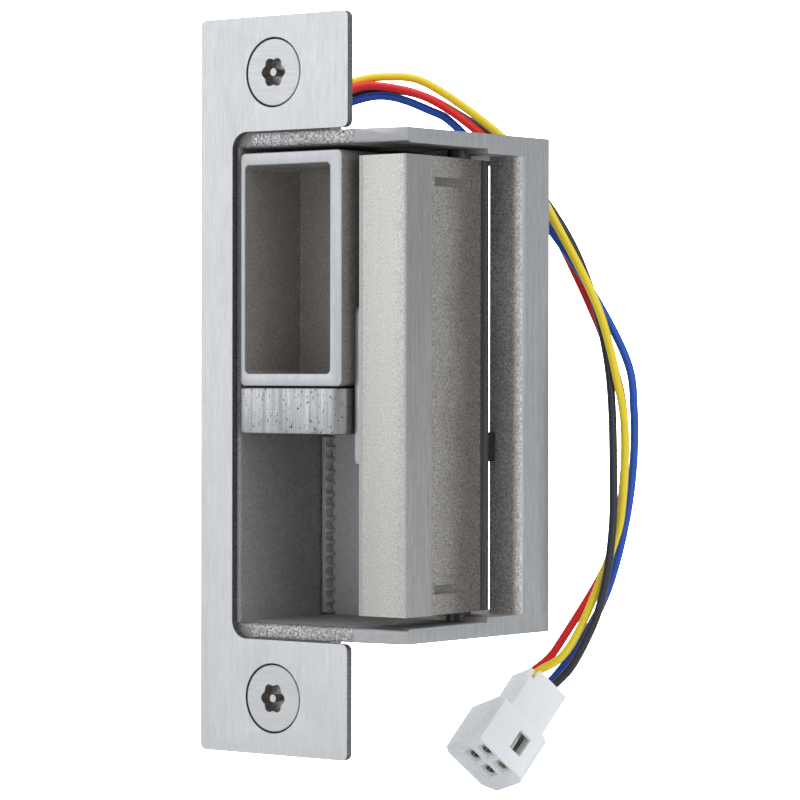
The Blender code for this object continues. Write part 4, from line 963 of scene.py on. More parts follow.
def keeper_slot(centre, normal):
    """0 cast, 1 front bar, 2 flat brushed band, 3 grip zone, 4 smooth barrel, 5 grooves."""
    if centre.x > 23.5 and LIP_DEPTH + 1.0 < centre.y < 22.6 and abs(abs(centre.z) - GROOVE_Z) < GROOVE_WIDTH / 2 + 0.15:
        return 5
    if centre.y < KEEPER_FRONT + 0.45 and normal.y < -0.2:
        return 1
    if normal.x > 0.8 and centre.y < LIP_DEPTH + 0.1:
        return 2
    radius = (centre.xy - Vector((PIVOT_X, PIVOT_Y))).length
    if centre.y < 25.2 and centre.x > 22.5 and (normal.x > 0.3 or radius > BARREL_RADIUS - 0.3):
        return 3
    if radius > BARREL_RADIUS - 0.3 and centre.y > 24.0:
        return 4
    return 0


def build_keeper():
    """Swinging lip with grip grooves, a spring pocket and the tail that the lever blocks."""
    keeper = prism("keeper_look", keeper_outline(), -KEEPER_HALF_HEIGHT, KEEPER_HALF_HEIGHT, "Z")
    tail = rounded_rectangle(TAIL_LEFT, TAIL_RIGHT, PIVOT_Y + 2.5, TAIL_END, 0.5, 4)
    fuse(keeper, prism("tail", tail, TAIL_LOW, TAIL_HIGH, "Z"))
    for side in (-1, 1):
        low = side * GROOVE_Z - GROOVE_WIDTH / 2
        face = FRAME_RIGHT - GROOVE_DEPTH
        groove = [(face - LIP_STEP - 0.15, LIP_DEPTH + 1.2), (face + 3, LIP_DEPTH + 1.2), (face + 3, 22.5)]
        groove += [(face - 1.3, 22.5), (face - 0.75, 17.0)]
        cut(keeper, prism("groove", groove, low, low + GROOVE_WIDTH, "Z"))
    cut(keeper, rod("bore", (PIVOT_X, PIVOT_Y, 0), "Z", PIN_RADIUS + 0.2, -50, 50, 48))
    low, high = SPRING_POCKET_LOW, SPRING_POCKET_HIGH
    cut(keeper, rod("spring room", (PIVOT_X, PIVOT_Y, 0), "Z", SPRING_POCKET_RADIUS, low, high, 48))
    wedge = [(PIVOT_X, PIVOT_Y)]
    for angle in (-54, -10, 25, 62):
        wedge.append((PIVOT_X - 9 * sin(radians(angle)), PIVOT_Y + 9 * cos(radians(angle))))
    cut(keeper, prism("spring window", wedge, low, high, "Z"))
    bevel(keeper, 0.25, 3, 50)
    return assign(keeper, keeper_slot)


def build_keeper_spring():
    """Torsion spring round the pin; its free leg bears on the bay wall."""
    low = SPRING_POCKET_LOW + 1.5
    high = SPRING_POCKET_HIGH - 1.5
    coil = helix((PIVOT_X, PIVOT_Y), SPRING_COIL_RADIUS, low, high, 10.25, 28)
    leg_y = PIVOT_Y + SPRING_COIL_RADIUS
    leg = [(PIVOT_X - reach, leg_y, high) for reach in (1.5, 4.0, 8.2)]
    return sweep("keeper_spring_look", coil + leg, SPRING_WIRE_RADIUS, 10)


# ---------------------------------------------------------------- inserts in the latch cavity


def insert_slot(centre, normal):
    """0 cast sides and pocket, 1 brushed front."""
    return 1 if normal.y < -0.3 and centre.y < INSERT_FRONT + 0.5 else 0


def build_insert():
    """Box that takes a deadbolt, with two tapped legs to the web."""
    outline = rounded_rectangle(INSERT_LEFT, INSERT_RIGHT, INSERT_LOW, INSERT_HIGH, 1.0)
    insert = prism("insert_look", outline, INSERT_FRONT, INSERT_BACK, "Y")
    pocket = rounded_rectangle(POCKET_LEFT, POCKET_RIGHT, POCKET_LOW, POCKET_HIGH, 0.8)
    cut(insert, prism("pocket", pocket, -2, POCKET_BACK, "Y"))
    for z in INSERT_SCREW_Z:
        leg = rod("leg", (INSERT_SCREW_X, 0, z), "Y", 2.6, POCKET_BACK + 0.5, WEB_FRONT - GAP, 32)
        fuse(insert, leg)
        cut(insert, rod("tapped", (INSERT_SCREW_X, 0, z), "Y", 1.6, POCKET_BACK + 2, WEB_FRONT + 1, 24))
    bevel(insert, 0.28, 3, 50)
    return assign(insert, insert_slot)


def block_outline():
    """Guard block from above, notched behind for the rack and the flap's lug."""
    return (
        [(BLOCK_LEFT, BLOCK_FRONT)]
        + arc(BLOCK_RIGHT - 2.4, BLOCK_FRONT + 2.4, 2.4, -90, 0, 14)
        + [(BLOCK_RIGHT, BLOCK_STEP_Y - 1), (BLOCK_RIGHT - 1, BLOCK_STEP_Y)]
        + [(BLOCK_REAR_RIGHT, BLOCK_STEP_Y), (BLOCK_REAR_RIGHT, BLOCK_BACK)]
        + [(-6.2, BLOCK_BACK), (-6.2, 23.2), (BLOCK_LEFT, 23.2)]
    )


def build_guard_block():
    """Adjustable block that keeps the latch guard pin down."""
    guard = prism("guard_block_look", block_outline(), BLOCK_LOW, BLOCK_HIGH, "Z")
    cut(guard, rod("tapped", (BLOCK_SCREW_X, 0, BLOCK_SCREW_Z), "Y", 2.05, 16, BLOCK_BACK + 1, 24))
    return bevel(guard, 0.3, 3, 50)


def build_rack():
    """Scalloped strip in the rear corner that indexes the guard block."""
    left = CAVITY_LEFT + GAP
    step = RACK_PITCH
    outline = [(left, RACK_TOP - step * RACK_TEETH), (left, RACK_TOP)]
    for tooth in range(RACK_TEETH):
        centre = RACK_TOP - step * (tooth + 0.5)
        outline += [(RACK_FACE, centre + step / 2 - 0.1)]
        outline += arc(RACK_FACE, centre, step / 2 - 0.25, 90, 270, 12)
    outline += [(RACK_FACE, RACK_TOP - step * RACK_TEETH)]
    return bevel(prism("rack_look", outline, RACK_FRONT, WEB_FRONT - GAP, "Y"), 0.08, 2, 50)


def build_flap():
    """Thin leaf on a pin, with a short arm behind that presses the switch."""
    half = FLAP_THICKNESS / 2
    front = FLAP_FRONT_X
    leaf = [(front - half, FLAP_FRONT), (front + half, FLAP_FRONT)]
    leaf += [(FLAP_X + 1.3, FLAP_Y - 0.6), (FLAP_X + 0.4, FLAP_Y - 0.6)]
    flap = prism("flap_look", leaf, -FLAP_HALF_HEIGHT, FLAP_HALF_HEIGHT, "Z")
    fuse(flap, rod("knuckle", (FLAP_X, FLAP_Y, 0), "Z", 1.45, -FLAP_HALF_HEIGHT, FLAP_HALF_HEIGHT, 32))
    x, y = FLAP_TAIL
    arm = [(FLAP_X - 0.4, FLAP_Y + 0.5), (FLAP_X + 0.6, FLAP_Y + 0.5), (x + half, y), (x - half, y)]
    fuse(flap, prism("arm", arm, FLAP_TAIL_LOW, FLAP_TAIL_HIGH, "Z"))
    cut(flap, rod("bore", (FLAP_X, FLAP_Y, 0), "Z", FLAP_PIN_RADIUS + 0.15, -20, 20, 24))
    for side in (-1, 1):
        edge = side * FLAP_HALF_HEIGHT
        corner = [(FLAP_FRONT - 1, edge - side * 1.5), (FLAP_FRONT, edge - side * 1.5)]
        corner += [(FLAP_FRONT + 0.35, edge - side * 0.5), (FLAP_FRONT + 1.3, edge), (FLAP_FRONT + 1.3, edge + side)]
        corner += [(FLAP_FRONT - 1, edge + side)]
        cut(flap, prism("corner", corner, 13, 17, "X"))
    return bevel(flap, 0.14, 3, 50)


# ---------------------------------------------------------------- latch monitor, solenoid, lever


def build_switch():
    """Subminiature switch body with two fixing holes, three solder terminals and a socket for its button."""
    low, high = SWITCH_LOW, SWITCH_HIGH
    switch = block("switch_look", low, high)
    for z in (low[2] + 2.2, high[2] - 2.2):
        cut(switch, rod("fixing", (low[0] + 1.6, 0, z), "Y", 1.0, low[1] - 1, high[1] + 1, 24))
    middle = (low[1] + high[1]) / 2
    for z in TERMINAL_Z:
        corner = (low[0] + 0.3, middle + 0.3, z + 0.7)
        fuse(switch, block("terminal", (low[0] - 3.0, middle - 0.3, z - 0.7), corner))
        cut(switch, rod("eyelet", (low[0] - 2.2, 0, z), "Y", 0.35, middle - 1, middle + 1, 16))
    place = (0, BUTTON_Y, BUTTON_Z)
    cut(switch, rod("socket", place, "X", BUTTON_RADIUS + 0.15, high[0] - 1.4, high[0] + 1, 24))
    return bevel(switch, 0.12, 2, 50)


def build_button():
    """Switch plunger with a domed end."""
    reach = SWITCH_HIGH[0]
    profile = [(0, reach - 0.9), (BUTTON_RADIUS, reach - 0.9), (BUTTON_RADIUS, reach + 0.55)]
    profile += [(BUTTON_RADIUS * 0.85, reach + 0.75), (BUTTON_RADIUS * 0.45, reach + 0.84), (0, reach + 0.85)]
    return lathe("button_look", profile, (0, BUTTON_Y, BUTTON_Z), "X", 24)


def build_lever():
    """Lock lever: its nose drops clear of the keeper's tail at rest."""
    front = COIL_Y - LEVER_THICKNESS / 2
    back = COIL_Y + LEVER_THICKNESS / 2
    nose_top = NOSE_Z + NOSE_HALF_HEIGHT
    nose_foot = NOSE_Z - NOSE_HALF_HEIGHT
    outline = arc(LEVER_X, LEVER_Z, 2.9, 70, 290, 32)
    outline += [(8.0, -17.6), (NOSE_LEFT, nose_foot), (NOSE_RIGHT, nose_foot)]
    outline += [(NOSE_RIGHT, nose_top), (NOSE_LEFT, nose_top), (4.0, -13.6), (-3.2, -12.8)]
    lever = prism("lever_look", outline, front, back, "Y")
    nose = rounded_rectangle(NOSE_LEFT, NOSE_RIGHT, nose_foot, nose_top, 0.4, 4)
    fuse(lever, prism("nose", nose, NOSE_FRONT, back - 0.2, "Y"))
    bore = LEVER_PIN_RADIUS + 0.15
    cut(lever, rod("bore", (LEVER_X, 0, LEVER_Z), "Y", bore, front - 1, back + 1, 32))
    pin_z = plunger_pin_height()
    slot = rounded_rectangle(COIL_X - 1.2, COIL_X + 1.2, pin_z - 1.0, pin_z + 1.0, 0.95, 8)
    cut(lever, prism("slot", slot, front - 1, back + 1, "Y"))
    return bevel(lever, 0.15, 2, 50)


def plunger_pin_height():
    """Height of the plunger's cross pin, on the lever's centre line at rest."""
    slope = (NOSE_Z - LEVER_Z) / ((NOSE_LEFT + NOSE_RIGHT) / 2 - LEVER_X)
    return LEVER_Z + slope * (COIL_X - LEVER_X)


# ---------------------------------------------------------------- rear cover, screws, grommet


def build_cover():
    """Sheet cover over the solenoid bay, with screw holes."""
    front = FRAME_BACK - REBATE + GAP
    outline = rounded_rectangle(COVER_LEFT, COVER_RIGHT, COVER_LOW, COVER_HIGH, 0.8, 6)
    cover = prism("cover_look", outline, front, FRAME_BACK, "Y")
    for x, z in COVER_SCREWS:
        cut(cover, rod("hole", (x, 0, z), "Y", 1.5, front - 1, FRAME_BACK + 1, 32))
    return bevel(cover, 0.12, 2, 50)


def build_pan_screw(name, place, head_low, head_high, head_radius, radius, low, high):
    """Pan-head screw along Y with a cross recess, its head behind and its thread in front."""
    x, _, z = place
    r = head_radius
    height = head_high - head_low
    profile = [(0, head_high), (r * 0.45, head_high - 0.02), (r * 0.75, head_high - 0.12 * height)]
    profile += [(r * 0.93, head_high - 0.35 * height), (r, head_high - 0.65 * height), (r, head_low)]
    profile += [(radius * 0.8, head_low), (radius * 0.8, high - 0.5), (0, high - 0.5)]
    head = lathe(name, profile, place, "Y", 40)
    arm = r * 0.5
    half = r * 0.11
    for across, up in ((arm, half), (half, arm)):
        low_corner = (x - across, head_high - 0.6 * height, z - up)
        cut(head, block("recess", low_corner, (x + across, head_high + 1, z + up)))
    cut(head, rod("recess well", place, "Y", r * 0.2, head_high - 0.7 * height, head_high + 1, 16))
    smooth(head, 35)
    return join(head, threaded("thread", place, "Y", radius, radius * 0.42, low, high - 0.3))


def build_solenoid_screw(name, z):
    """Countersunk screw through the bay's wall into the yoke."""
    head = FRAME_LEFT + 0.1
    tip = BAY_LEFT + GAP + YOKE_THICKNESS + 0.6
    profile = [(0, head), (2.3, head), (2.35, head + 0.12), (1.15, head + 1.3)]
    profile += [(1.15, tip - 0.3), (0.8, tip), (0, tip)]
    screw = lathe(name, profile, (0, COIL_Y, z), "X", 40)
    for across, up in ((1.2, 0.24), (0.24, 1.2)):
        low = (head - 1, COIL_Y - across, z - up)
        cut(screw, block("recess", low, (head + 0.75, COIL_Y + across, z + up)))
    smooth(screw, 35)
    return screw


def build_grommet():
    """Rubber grommet in the bay's left wall, with a rounded outer bead."""
    out, back = FRAME_LEFT, BAY_LEFT
    bore = 2.3
    profile = [(bore + 0.15, out - 1.5)] + arc(3.6, out - 0.85, 0.65, -90, 0, 6)[1:]
    profile = [(bore, out - 1.35)] + profile + [(4.25, out - 0.15), (2.85, out - 0.15), (2.85, back + 0.15)]
    profile += [(4.0, back + 0.15), (4.0, back + 0.9), (3.7, back + 1.25), (3.3, back + 1.4), (bore, back + 1.4)]
    return lathe("grommet_look", profile, (0, GROMMET_Y, GROMMET_Z), "X", 48, True)


# ---------------------------------------------------------------- wires


def on_loop(along_loop, height, front):
    """Point of the wire loop: along its upright plane, up, and out of the plane to the front."""
    return SWEEP_ORIGIN + SWEEP_RIGHT * along_loop + SWEEP_FRONT * front + Vector((0, 0, height))


def plug_frame():
    """The plug's axes: mouthward, across, topward, as unit vectors."""
    mouth = PLUG_MOUTHWARD
    top = (PLUG_TOPWARD - mouth * PLUG_TOPWARD.dot(mouth)).normalized()
    return mouth, top.cross(mouth).normalized(), top


def plug_point(mouthward, across, up):
    """Point in the plug's own axes, from the centre of its rear face."""
    mouth, right, top = plug_frame()
    return PLUG_REAR + mouth * mouthward + right * across + top * up


def contact_places():
    """The four contacts: across and up, in the plug's axes."""
    left = PLUG_MIDDLE - PLUG_PITCH / 2
    right = PLUG_MIDDLE + PLUG_PITCH / 2
    high = PLUG_ROW / 2
    return {"yellow": (left, high), "red": (left, -high), "blue": (right, -high), "black": (right, high)}


def wire_loops():
    """Free run of each wire: (along, height, front) in the loop's plane."""
    return {
        "yellow": ((0.6, 53.2, 0.7), (6.9, 54.2, 0.9), (14.0, 52.9, 1.2), (26.1, 44.4, 1.6),
                   (30.6, 38.9, 2.1), (36.0, 29.2, 2.7), (43.7, 13.9, 2.7), (47.4, 0.0, 2.3),
                   (48.7, -9.1, 1.6), (48.2, -21.3, 0.9), (46.7, -28.2, 0.7), (41.8, -40.7, 1.2),
                   (37.8, -47.5, 1.7)),
        "red": ((0.6, 51.9, 1.8), (5.4, 52.5, 1.8), (14.0, 50.4, 1.4), (22.9, 44.4, 0.9),
                (29.0, 37.5, -0.7), (36.0, 28.0, -2.7), (46.3, 5.3, -2.7), (48.9, -9.0, -2.7),
                (47.5, -26.6, -2.7), (44.6, -34.0, -2.6), (38.2, -44.4, -1.8),
                (35.3, -48.4, -1.5)),
        "blue": ((5.5, 50.9, 0.2), (14.0, 48.5, -0.3), (20.1, 44.4, -0.6), (36.0, 26.9, -0.9),
                 (48.1, 6.9, -0.9), (50.4, -4.6, -0.7), (49.7, -19.8, -0.7), (46.3, -34.8, -0.9),
                 (41.6, -44.6, -1.5), (37.1, -50.9, -1.9)),
        "black": ((0.6, 51.3, -1.0), (5.6, 52.2, -1.0), (14.0, 50.6, -0.6), (24.6, 44.2, -0.9),
                  (30.2, 38.5, -0.1), (40.1, 23.3, 0.9), (45.6, 4.4, 0.9), (46.6, -17.4, 2.6),
                  (46.0, -29.3, 2.8), (44.2, -38.9, 2.4), (41.7, -45.2, 1.8),
                  (39.0, -50.0, 1.4)),
    }


def bundle_run(colour):
    """Points of one wire where the four run together, through the grommet and up the frame's left side."""
    y, z = GROMMET_Y, GROMMET_Z
    stations = (  # middle of the bundle, heading, outer side of the bend, twist in degrees
        ((-7.6, y, z), (-1, 0, 0), (0, 0, -1), 0),
        ((-9.6, y, z), (-1, 0, 0), (0, 0, -1), 0),
        ((-12.0, y, z), (-1, 0, 0), (0, 0, -1), 0),
        ((-13.8, y, z), (-1, 0, 0), (0, 0, -1), 0),
        ((-15.9, 34.9, 36.9), (-0.75, -0.25, 0.6), (-0.5, 0, -0.85), 0),
        ((-17.2, 33.5, 39.4), (-0.25, -0.45, 0.85), (-0.95, 0, -0.3), 5),
        ((-17.4, 31.7, 42.6), (0.1, -0.45, 0.88), (-1, -0.2, 0), 15),
        ((-16.3, 30.3, 46.0), (0.4, -0.1, 0.88), (-0.85, -0.4, 0.3), 30),
        ((-13.5, 30.5, 49.2), (0.6, 0.4, 0.68), (-0.55, -0.4, 0.7), 45),
    )
    points = []
    for middle, heading, outer, twist in stations:
        ahead = Vector(heading).normalized()
        outward = (Vector(outer) - ahead * ahead.dot(Vector(outer))).normalized()
        turn = radians(BUNDLE_PLACES[colour] + twist)
        offset = outward * cos(turn) + ahead.cross(outward) * sin(turn)
        points.append(Vector(middle) + offset * BUNDLE_RADIUS)
    return points


def inner_run(colour):
    """Points inside the frame, from the wire's inner end towards the grommet."""
    end = SWITCH_LOW[0] - 3.4
    middle = (SWITCH_LOW[1] + SWITCH_HIGH[1]) / 2
    top = YOKE_HIGH + 0.95
    runs = {
        "blue": [(end, middle, TERMINAL_Z[2]), (0.3, middle, 12.0), (0.5, 21.8, 16.5), (1.6, 21.6, 24.0),
                 (1.6, 21.6, 31.0), (-1.6, 21.8, 35.6), (-5.0, 23.2, 36.2), (-6.0, 26.0, 36.05),
                 (-6.0, 29.0, 36.1), (-5.9, 31.5, 36.4), (-6.2, 33.5, 36.7)],
        "red": [(end, middle, TERMINAL_Z[0]), (-3.0, 22.0, 4.2), (-7.2, 21.4, 7.5), (-7.3, 21.4, 14.0),
                (-7.3, 21.4, 28.0), (-6.8, 22.6, 32.6), (-6.0, 26.0, 34.3), (-6.0, 29.0, 34.3),
                (-5.9, 31.5, 34.4), (-6.2, 33.5, 34.8)],
        "yellow": [(-2.8, 34.6, top), (-4.8, 35.2, top + 0.2), (-6.4, 36.0, 33.9)],
        "black": [(-2.8, 37.4, top), (-4.8, 37.3, top + 1.0), (-6.4, 37.0, 36.1)],
    }
    return runs[colour]


def build_wire(colour):
    """Insulated wire from the bay, through the grommet, round the loop and into the plug."""
    points = inner_run(colour) + bundle_run(colour)
    points += [on_loop(*place) for place in wire_loops()[colour]]
    across, up = contact_places()[colour]
    points += [plug_point(distance, across, up) for distance in (-0.8, 2.2)]
    return sweep(f"wire_{colour}_look", smooth_path(points, 12), WIRE_RADIUS, 20)


# ---------------------------------------------------------------- plug


def plug_block(name, low, high):
    """Box in the plug's axes: mouthward, across, up."""
    return block(name, low, high, plug_point)


def plug_prism(name, outline, low, high):
    """Prism over an outline across and up, from low to high mouthward."""
    return prism(name, outline, low, high, lambda u, v, w: plug_point(w, u, v))


def build_plug():
    """Four-way receptacle housing: a neck, a wider hood with a raised shoulder, a window over one contact."""
    half = NECK_WIDTH / 2
    tall = NECK_HEIGHT / 2
    end = NECK_LENGTH + HOOD_LENGTH
    housing = plug_prism("plug_look", rounded_rectangle(-half, half, -tall, tall, 0.7, 6), 0, NECK_LENGTH + 1)
    hood = [(HOOD_LEFT + 1.0, HOOD_HIGH), (HOOD_LEFT, HOOD_HIGH - 1.0), (HOOD_LEFT, HOOD_LOW + 1.2)]
    hood += [(HOOD_LEFT + 1.2, HOOD_LOW), (HOOD_RIGHT - 2.2, HOOD_LOW), (HOOD_RIGHT, HOOD_LOW + 2.2)]
    hood += [(HOOD_RIGHT, HOOD_HIGH - 1.2), (HOOD_RIGHT - 1.2, HOOD_HIGH)]
    fuse(housing, plug_prism("hood", hood, NECK_LENGTH, end))
    for across, up in contact_places().values():
        reach = 1.45
        corner = (end + 2, across + reach, up + reach)
        cut(housing, plug_block("silo", (3.0, across - reach, up - reach), corner))
        cut(housing, rod_in_plug("entry", across, up, 1.1, -2, 3.4))
    for across, up in contact_places().values():
        corner = (end + 2, across + 1.7, up + 1.7)
        cut(housing, plug_block("lead-in", (end - 0.5, across - 1.7, up - 1.7), corner))
    middle = PLUG_MIDDLE + PLUG_PITCH / 2 - 0.2
    low = (end - 7.2, middle - 1.3, PLUG_ROW / 2)
    cut(housing, plug_block("window", low, (end - 3.0, middle + 1.3, HOOD_HIGH + 2)))
    notch = (-1, -half - 1, tall - 1.2)
    cut(housing, plug_block("notch", notch, (2.2, -half + 1.2, tall + 1)))
    bevel(housing, 0.22, 3, 50)
    return housing


def rod_in_plug(name, across, up, radius, low, high):
    """Round cutter along the plug's mouthward axis."""
    return plug_prism(name, circle(across, up, radius, 24), low, high)


def build_contact(name, colour):
    """Rolled receptacle contact: a C-shaped socket, a transition and a crimp round the wire."""
    across, up = contact_places()[colour]
    end = NECK_LENGTH + HOOD_LENGTH
    outer = 1.05
    wall = 0.22
    low = 8.4
    section = arc(0, 0, outer, 115, 425, 40)
    section += [(u, v) for u, v in reversed(arc(0, 0, outer - wall, 115, 425, 40))]
    outline = [(across + u, up - 0.05 + v) for u, v in section]
    socket = plug_prism(name, outline, low, end - 0.8)
    neck = rounded_rectangle(across - 0.8, across + 0.8, up - 1.0, up - 0.75, 0.1, 3)
    fuse(socket, plug_prism("strap", neck, 3.6, low + 1.0))
    for start, reach in ((3.7, 1.5), (5.9, 1.7)):
        wing = arc(0, 0, 1.0, 140, 400, 24) + list(reversed(arc(0, 0, 0.8, 140, 400, 24)))
        crimp = [(across + u, up - 0.02 + v) for u, v in wing]
        fuse(socket, plug_prism("crimp", crimp, start, start + reach))
    return bevel(socket, 0.05, 1, 50)


# ---------------------------------------------------------------- assembly


def build_all():
    """Build the finer pieces, give every piece its material and let it ride on its body."""
    plate_steel = brushed("plate steel", (0.60, 0.61, 0.62), 0.46, "Z", 0.06)
    # Painted shade: the plate's edges and countersinks get a dark, bluish copy of its steel.
    edge_painted_shade = cast("plate edge with painted shade", (0.20, 0.205, 0.22), 0.45, 0.3, 3.0)
    # Painted shade: the screws' star recesses are darker than their heads.
    recess_painted_shade = cast("screw recess with painted shade", (0.34, 0.32, 0.30), 0.4, 0.5, 3.0)
    screw_steel = brushed("screw steel", (0.56, 0.57, 0.585), 0.44, "X", 0.05)
    ground_steel = brushed("ground steel", (0.52, 0.535, 0.545), 0.38, "Z", 0.13)
    rail_steel = cast("rail steel", (0.44, 0.44, 0.445), 0.48, 0.6, 2.4, 0.85, 0.8)
    patch_steel = brushed("polished rail tip", (0.46, 0.465, 0.475), 0.42, "X", 0.09)
    cavity_steel = cast("cavity steel", (0.36, 0.34, 0.335), 0.6, 0.2, 3.2, 0.3)
    plate_back = cast("cavity back", (0.58, 0.565, 0.585), 0.5, 0.12, 3.2, 0.35)
    # Painted highlight: the rear post's front wall and rounding are lighter than the cavity round them.
    post_painted_highlight = cast("post rounding with painted highlight", (0.60, 0.575, 0.55), 0.5, 0.35, 2.6, 0.6)
    outer_steel = cast("outer cast steel", (0.40, 0.395, 0.385), 0.5, 0.18, 2.6)
    insert_front = brushed("insert front", (0.50, 0.515, 0.53), 0.42, "Z", 0.06)
    insert_cast = cast("insert cast", (0.30, 0.28, 0.265), 0.6, 0.25, 3.0, 0.35)
    guard = burnished("burnished steel")
    bar = keeper_front("keeper front with painted reflection")
    band = brushed("keeper band", (0.43, 0.43, 0.42), 0.4, "Z", 0.16)
    grip = keeper_grip("keeper grip with painted shade")
    # Painted shade: the keeper's barrel is nearly black, standing in for the shade round the hinge.
    barrel = brushed("keeper barrel with painted shade", (0.045, 0.042, 0.045), 0.24, "Z", 0.15, 0.8)
    hidden = cast("keeper cast", (0.30, 0.285, 0.27), 0.55, 0.2)
    # Painted shade: the grip grooves are darker than the grip round them.
    groove = cast("grip groove with painted shade", (0.20, 0.19, 0.18), 0.6, 0.4, 3.0, 0.6)
    # Painted shade: the keeper pin is dark grey, standing in for the shade between the keeper and the rail.
    shade_dark_pin = brushed("pin painted dark as shade", (0.10, 0.10, 0.105), 0.4)
    zinc = brushed("plated steel", (0.62, 0.63, 0.62), 0.32, "Y", 0.06)
    flap_steel = brushed("flap steel", (0.46, 0.47, 0.49), 0.36, "Z", 0.08)
    spring = brushed("spring steel", (0.42, 0.42, 0.44), 0.28, "X", 0.08)
    copper = winding("copper winding")
    black = plastic("black plastic", (0.022, 0.022, 0.024), 0.42)
    rubber = plastic("black rubber", (0.018, 0.018, 0.02), 0.7)
    # Painted glow: the nylon has a faint bluish emission of its own, brightening it.
    nylon = plastic("natural nylon", (0.88, 0.92, 0.95), 0.3, 0.03,
                    Emission_Color=(0.86, 0.93, 1.0), Emission_Strength=0.08, Subsurface_Weight=0.35,
                    Subsurface_Radius=(0.9, 1.0, 1.2), Subsurface_Scale=0.0012)
    tin = brushed("tinned brass", (0.70, 0.67, 0.58), 0.25, "X", 0.07)
    sleeves = {"yellow": (1.0, 0.76, 0.03), "red": (0.90, 0.018, 0.02), "blue": (0.014, 0.09, 0.54),
               "black": (0.03, 0.033, 0.045)}

    show(paint_slots(build_faceplate(), plate_steel, edge_painted_shade), "housing", "faceplate")
    for name, z in (("mounting_screw_top", SCREW_Z), ("mounting_screw_bottom", -SCREW_Z)):
        show(paint_slots(build_mounting_screw(name + "_look", z), screw_steel, recess_painted_shade), "housing", name)
    steels = (cavity_steel, ground_steel, rail_steel, patch_steel, outer_steel, post_painted_highlight, plate_back)
    show(paint_slots(build_frame(), *steels), "housing", "frame")
    show(paint_slots(build_keeper(), hidden, bar, band, grip, barrel, groove), "keeper_body", "keeper")
    place = (PIVOT_X, PIVOT_Y, 0)
    pin = rod("keeper_pin_look", place, "Z", PIN_RADIUS, -PIN_HALF_LENGTH, PIN_HALF_LENGTH, 48, 0.4)
    show(paint(pin, shade_dark_pin), "housing", "keeper_pin")
    show(paint(build_keeper_spring(), spring), "housing", "keeper_spring")

    show(paint_slots(build_insert(), insert_cast, insert_front), "housing", "bolt_pocket_insert")
    for name, z in zip(("insert_screw_lower", "insert_screw_upper"), INSERT_SCREW_Z):
        place = (INSERT_SCREW_X, 0, z)
        head = WEB_BACK + 0.15
        screw = build_pan_screw(name + "_look", place, head, head + 2.0, 2.8, 1.35, POCKET_BACK + 3, WEB_BACK)
        show(paint(screw, zinc), "housing", name)
    show(paint(build_guard_block(), guard), "guard_body", "guard_block")
    place = (BLOCK_SCREW_X, 0, BLOCK_SCREW_Z)
    head = WEB_BACK + 0.15
    clamp = build_pan_screw("guard_block_screw_look", place, head, head + 2.2, 3.3, 1.8, 17.5, WEB_BACK)
    show(paint(clamp, zinc), "guard_body", "guard_block_screw")
    show(paint(build_rack(), plate_back), "housing", "adjuster_rack")

    show(paint(build_flap(), flap_steel), "flap_body", "latch_flap")
    show(paint(build_switch(), black), "housing", "monitor_switch")
    show(paint(build_button(), nylon), "button_body", "switch_button")
    show(paint(build_lever(), hidden), "lever_body", "lock_lever")
    show(paint(build_cover(), plate_steel), "housing", "rear_cover")
    for number, (x, z) in enumerate(COVER_SCREWS, 1):
        name = f"cover_screw_{number}"
        head = FRAME_BACK + 0.1
        screw = build_pan_screw(name + "_look", (x, 0, z), head, head + 1.5, 2.4, 1.1, 34.0, FRAME_BACK)
        show(paint(screw, zinc), "housing", name)
    for name, z in (("solenoid_screw_lower", YOKE_LOW + 9.0), ("solenoid_screw_upper", YOKE_HIGH - 9.0)):
        show(paint(build_solenoid_screw(name + "_look", z), zinc), "housing", name)
    show(paint(build_grommet(), rubber), "housing", "cable_grommet")
    show(paint(build_plug(), nylon), "housing", "connector_housing")
    for number, colour in enumerate(("yellow", "black", "red", "blue"), 1):
        sleeve = plastic(colour + " insulation", sleeves[colour], 0.32, 0.04)
        show(paint(build_wire(colour), sleeve), "housing", f"wire_{colour}")
        contact = build_contact(f"contact_{number}_look", colour)
        show(paint(contact, tin), "housing", f"contact_{number}")

    kept = {zinc: ("flap_pin", "lever_pin", "plunger", "plunger_pin", "solenoid_core", "solenoid_yoke",
                   "switch_screw_lower", "switch_screw_upper"),
            copper: ("solenoid_coil",), black: ("solenoid_bobbin",)}
    for made, names in kept.items():
        for name in names:
            paint(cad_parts[name], made)
    shorten_with_plunger(spring)


def shorten_with_plunger(made):
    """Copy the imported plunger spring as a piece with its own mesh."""
    coil = bpy.data.objects.new("plunger_spring_look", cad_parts["plunger_spring"].data.copy())
    bpy.context.collection.objects.link(coil)
    show(paint(coil, made), "housing", "plunger_spring")
    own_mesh(coil)


def paint_slots(obj, *made):
    """Give an object several materials and keep its faces' slots."""
    slots = [face.material_index for face in obj.data.polygons]
    paint(obj, *made)
    for face, slot in zip(obj.data.polygons, slots):
        face.material_index = slot
    return obj


# ---------------------------------------------------------------- stage, light and camera


def stage_material():
    """Pale paper that the camera sees nearly white."""
    s = Shader("pale paper")
    speck = s.noise((0.02, 0.02, 0.02), 2.0)
    seen = s.nodes.new("ShaderNodeLightPath").outputs["Is Camera Ray"]
    s.set(Base_Color=s.mix(s.ramp(speck, 0.3, 0.7), (0.80, 0.80, 0.80), (0.84, 0.84, 0.84)), Roughness=0.9)
    s.set(Emission_Color=(1.0, 1.0, 1.0), Emission_Strength=s.math("MULTIPLY", seen, PAPER_GLOW))
    return s.made


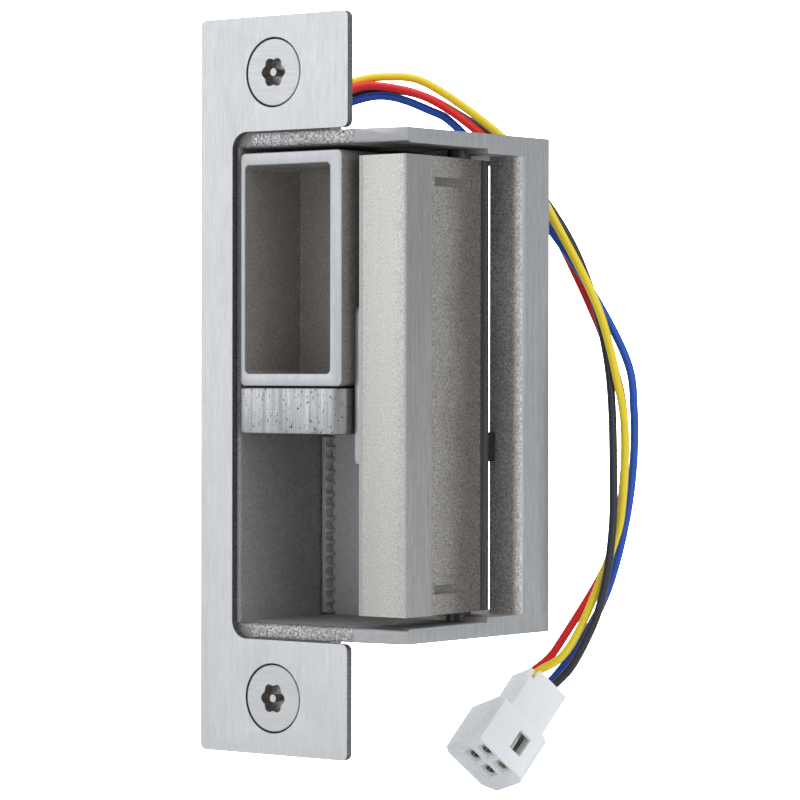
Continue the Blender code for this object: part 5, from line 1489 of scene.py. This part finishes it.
def build_stage():
    """Floor that sweeps up into a wall behind the object, across the camera's line."""
    low = cad_box[0][2] - 0.0005
    back = Vector(CAMERA_BACK)
    away = Vector((-back.x, -back.y, 0)).normalized()
    right = away.cross(Vector((0, 0, 1)))
    profile = [(-1.5, 0)] + [(0.35 + 0.4 * sin(radians(a)), 0.4 - 0.4 * cos(radians(a))) for a in range(0, 91, 6)]
    profile += [(0.75, 1.6)]
    bm = bmesh.new()
    loops = []
    for side in (-2.0, 2.0):
        loops.append([bm.verts.new(away * d + right * side + Vector((0, 0, low + h))) for d, h in profile])
    for i in range(len(profile) - 1):
        bm.faces.new((loops[0][i], loops[1][i], loops[1][i + 1], loops[0][i + 1]))
    sweep_floor = finish("floor", bm)
    paint(sweep_floor, stage_material())


def build_light(name, place, size, power, tint=(1.0, 1.0, 1.0)):
    """Soft rectangular light aimed at the object's middle."""
    data = bpy.data.lights.new(name, "AREA")
    data.shape = "RECTANGLE"
    data.size, data.size_y = size
    data.energy = power
    data.color = tint
    light = bpy.data.objects.new(name, data)
    light.location = place
    light.rotation_euler = (-Vector(place)).to_track_quat("-Z", "Y").to_euler()
    bpy.context.collection.objects.link(light)


def build_lights():
    """Large soft light at the front left, weaker ones above and at the right, and an even surround."""
    build_light("key light", (-0.75, -0.95, 0.25), (1.3, 1.5), KEY_POWER)
    build_light("top light", (0.2, -0.1, 1.2), (1.0, 1.0), TOP_POWER)
    build_light("right light", (1.1, -0.35, 0.3), (0.5, 1.2), RIGHT_POWER)
    world = bpy.data.worlds.new("surround")
    world.use_nodes = True
    shade = world.node_tree.nodes["Background"]
    shade.inputs["Color"].default_value = (0.95, 0.97, 1.0, 1.0)
    shade.inputs["Strength"].default_value = SURROUND
    bpy.context.scene.world = world
    bpy.context.scene.view_settings.view_transform = "Standard"


def build_camera():
    """Camera level with the object's middle, to its front right."""
    data = bpy.data.cameras.new("camera")
    data.lens = CAMERA_LENS
    data.sensor_width = 36.0
    data.clip_start = 0.01
    camera = bpy.data.objects.new("camera", data)
    turn = Matrix((CAMERA_RIGHT, CAMERA_UP, CAMERA_BACK)).transposed().to_4x4()
    camera.matrix_world = Matrix.Translation(to_row(CAMERA_PLACE)) @ turn
    bpy.context.collection.objects.link(camera)
    bpy.context.scene.camera = camera


build_all()
build_stage()
build_lights()
build_camera()
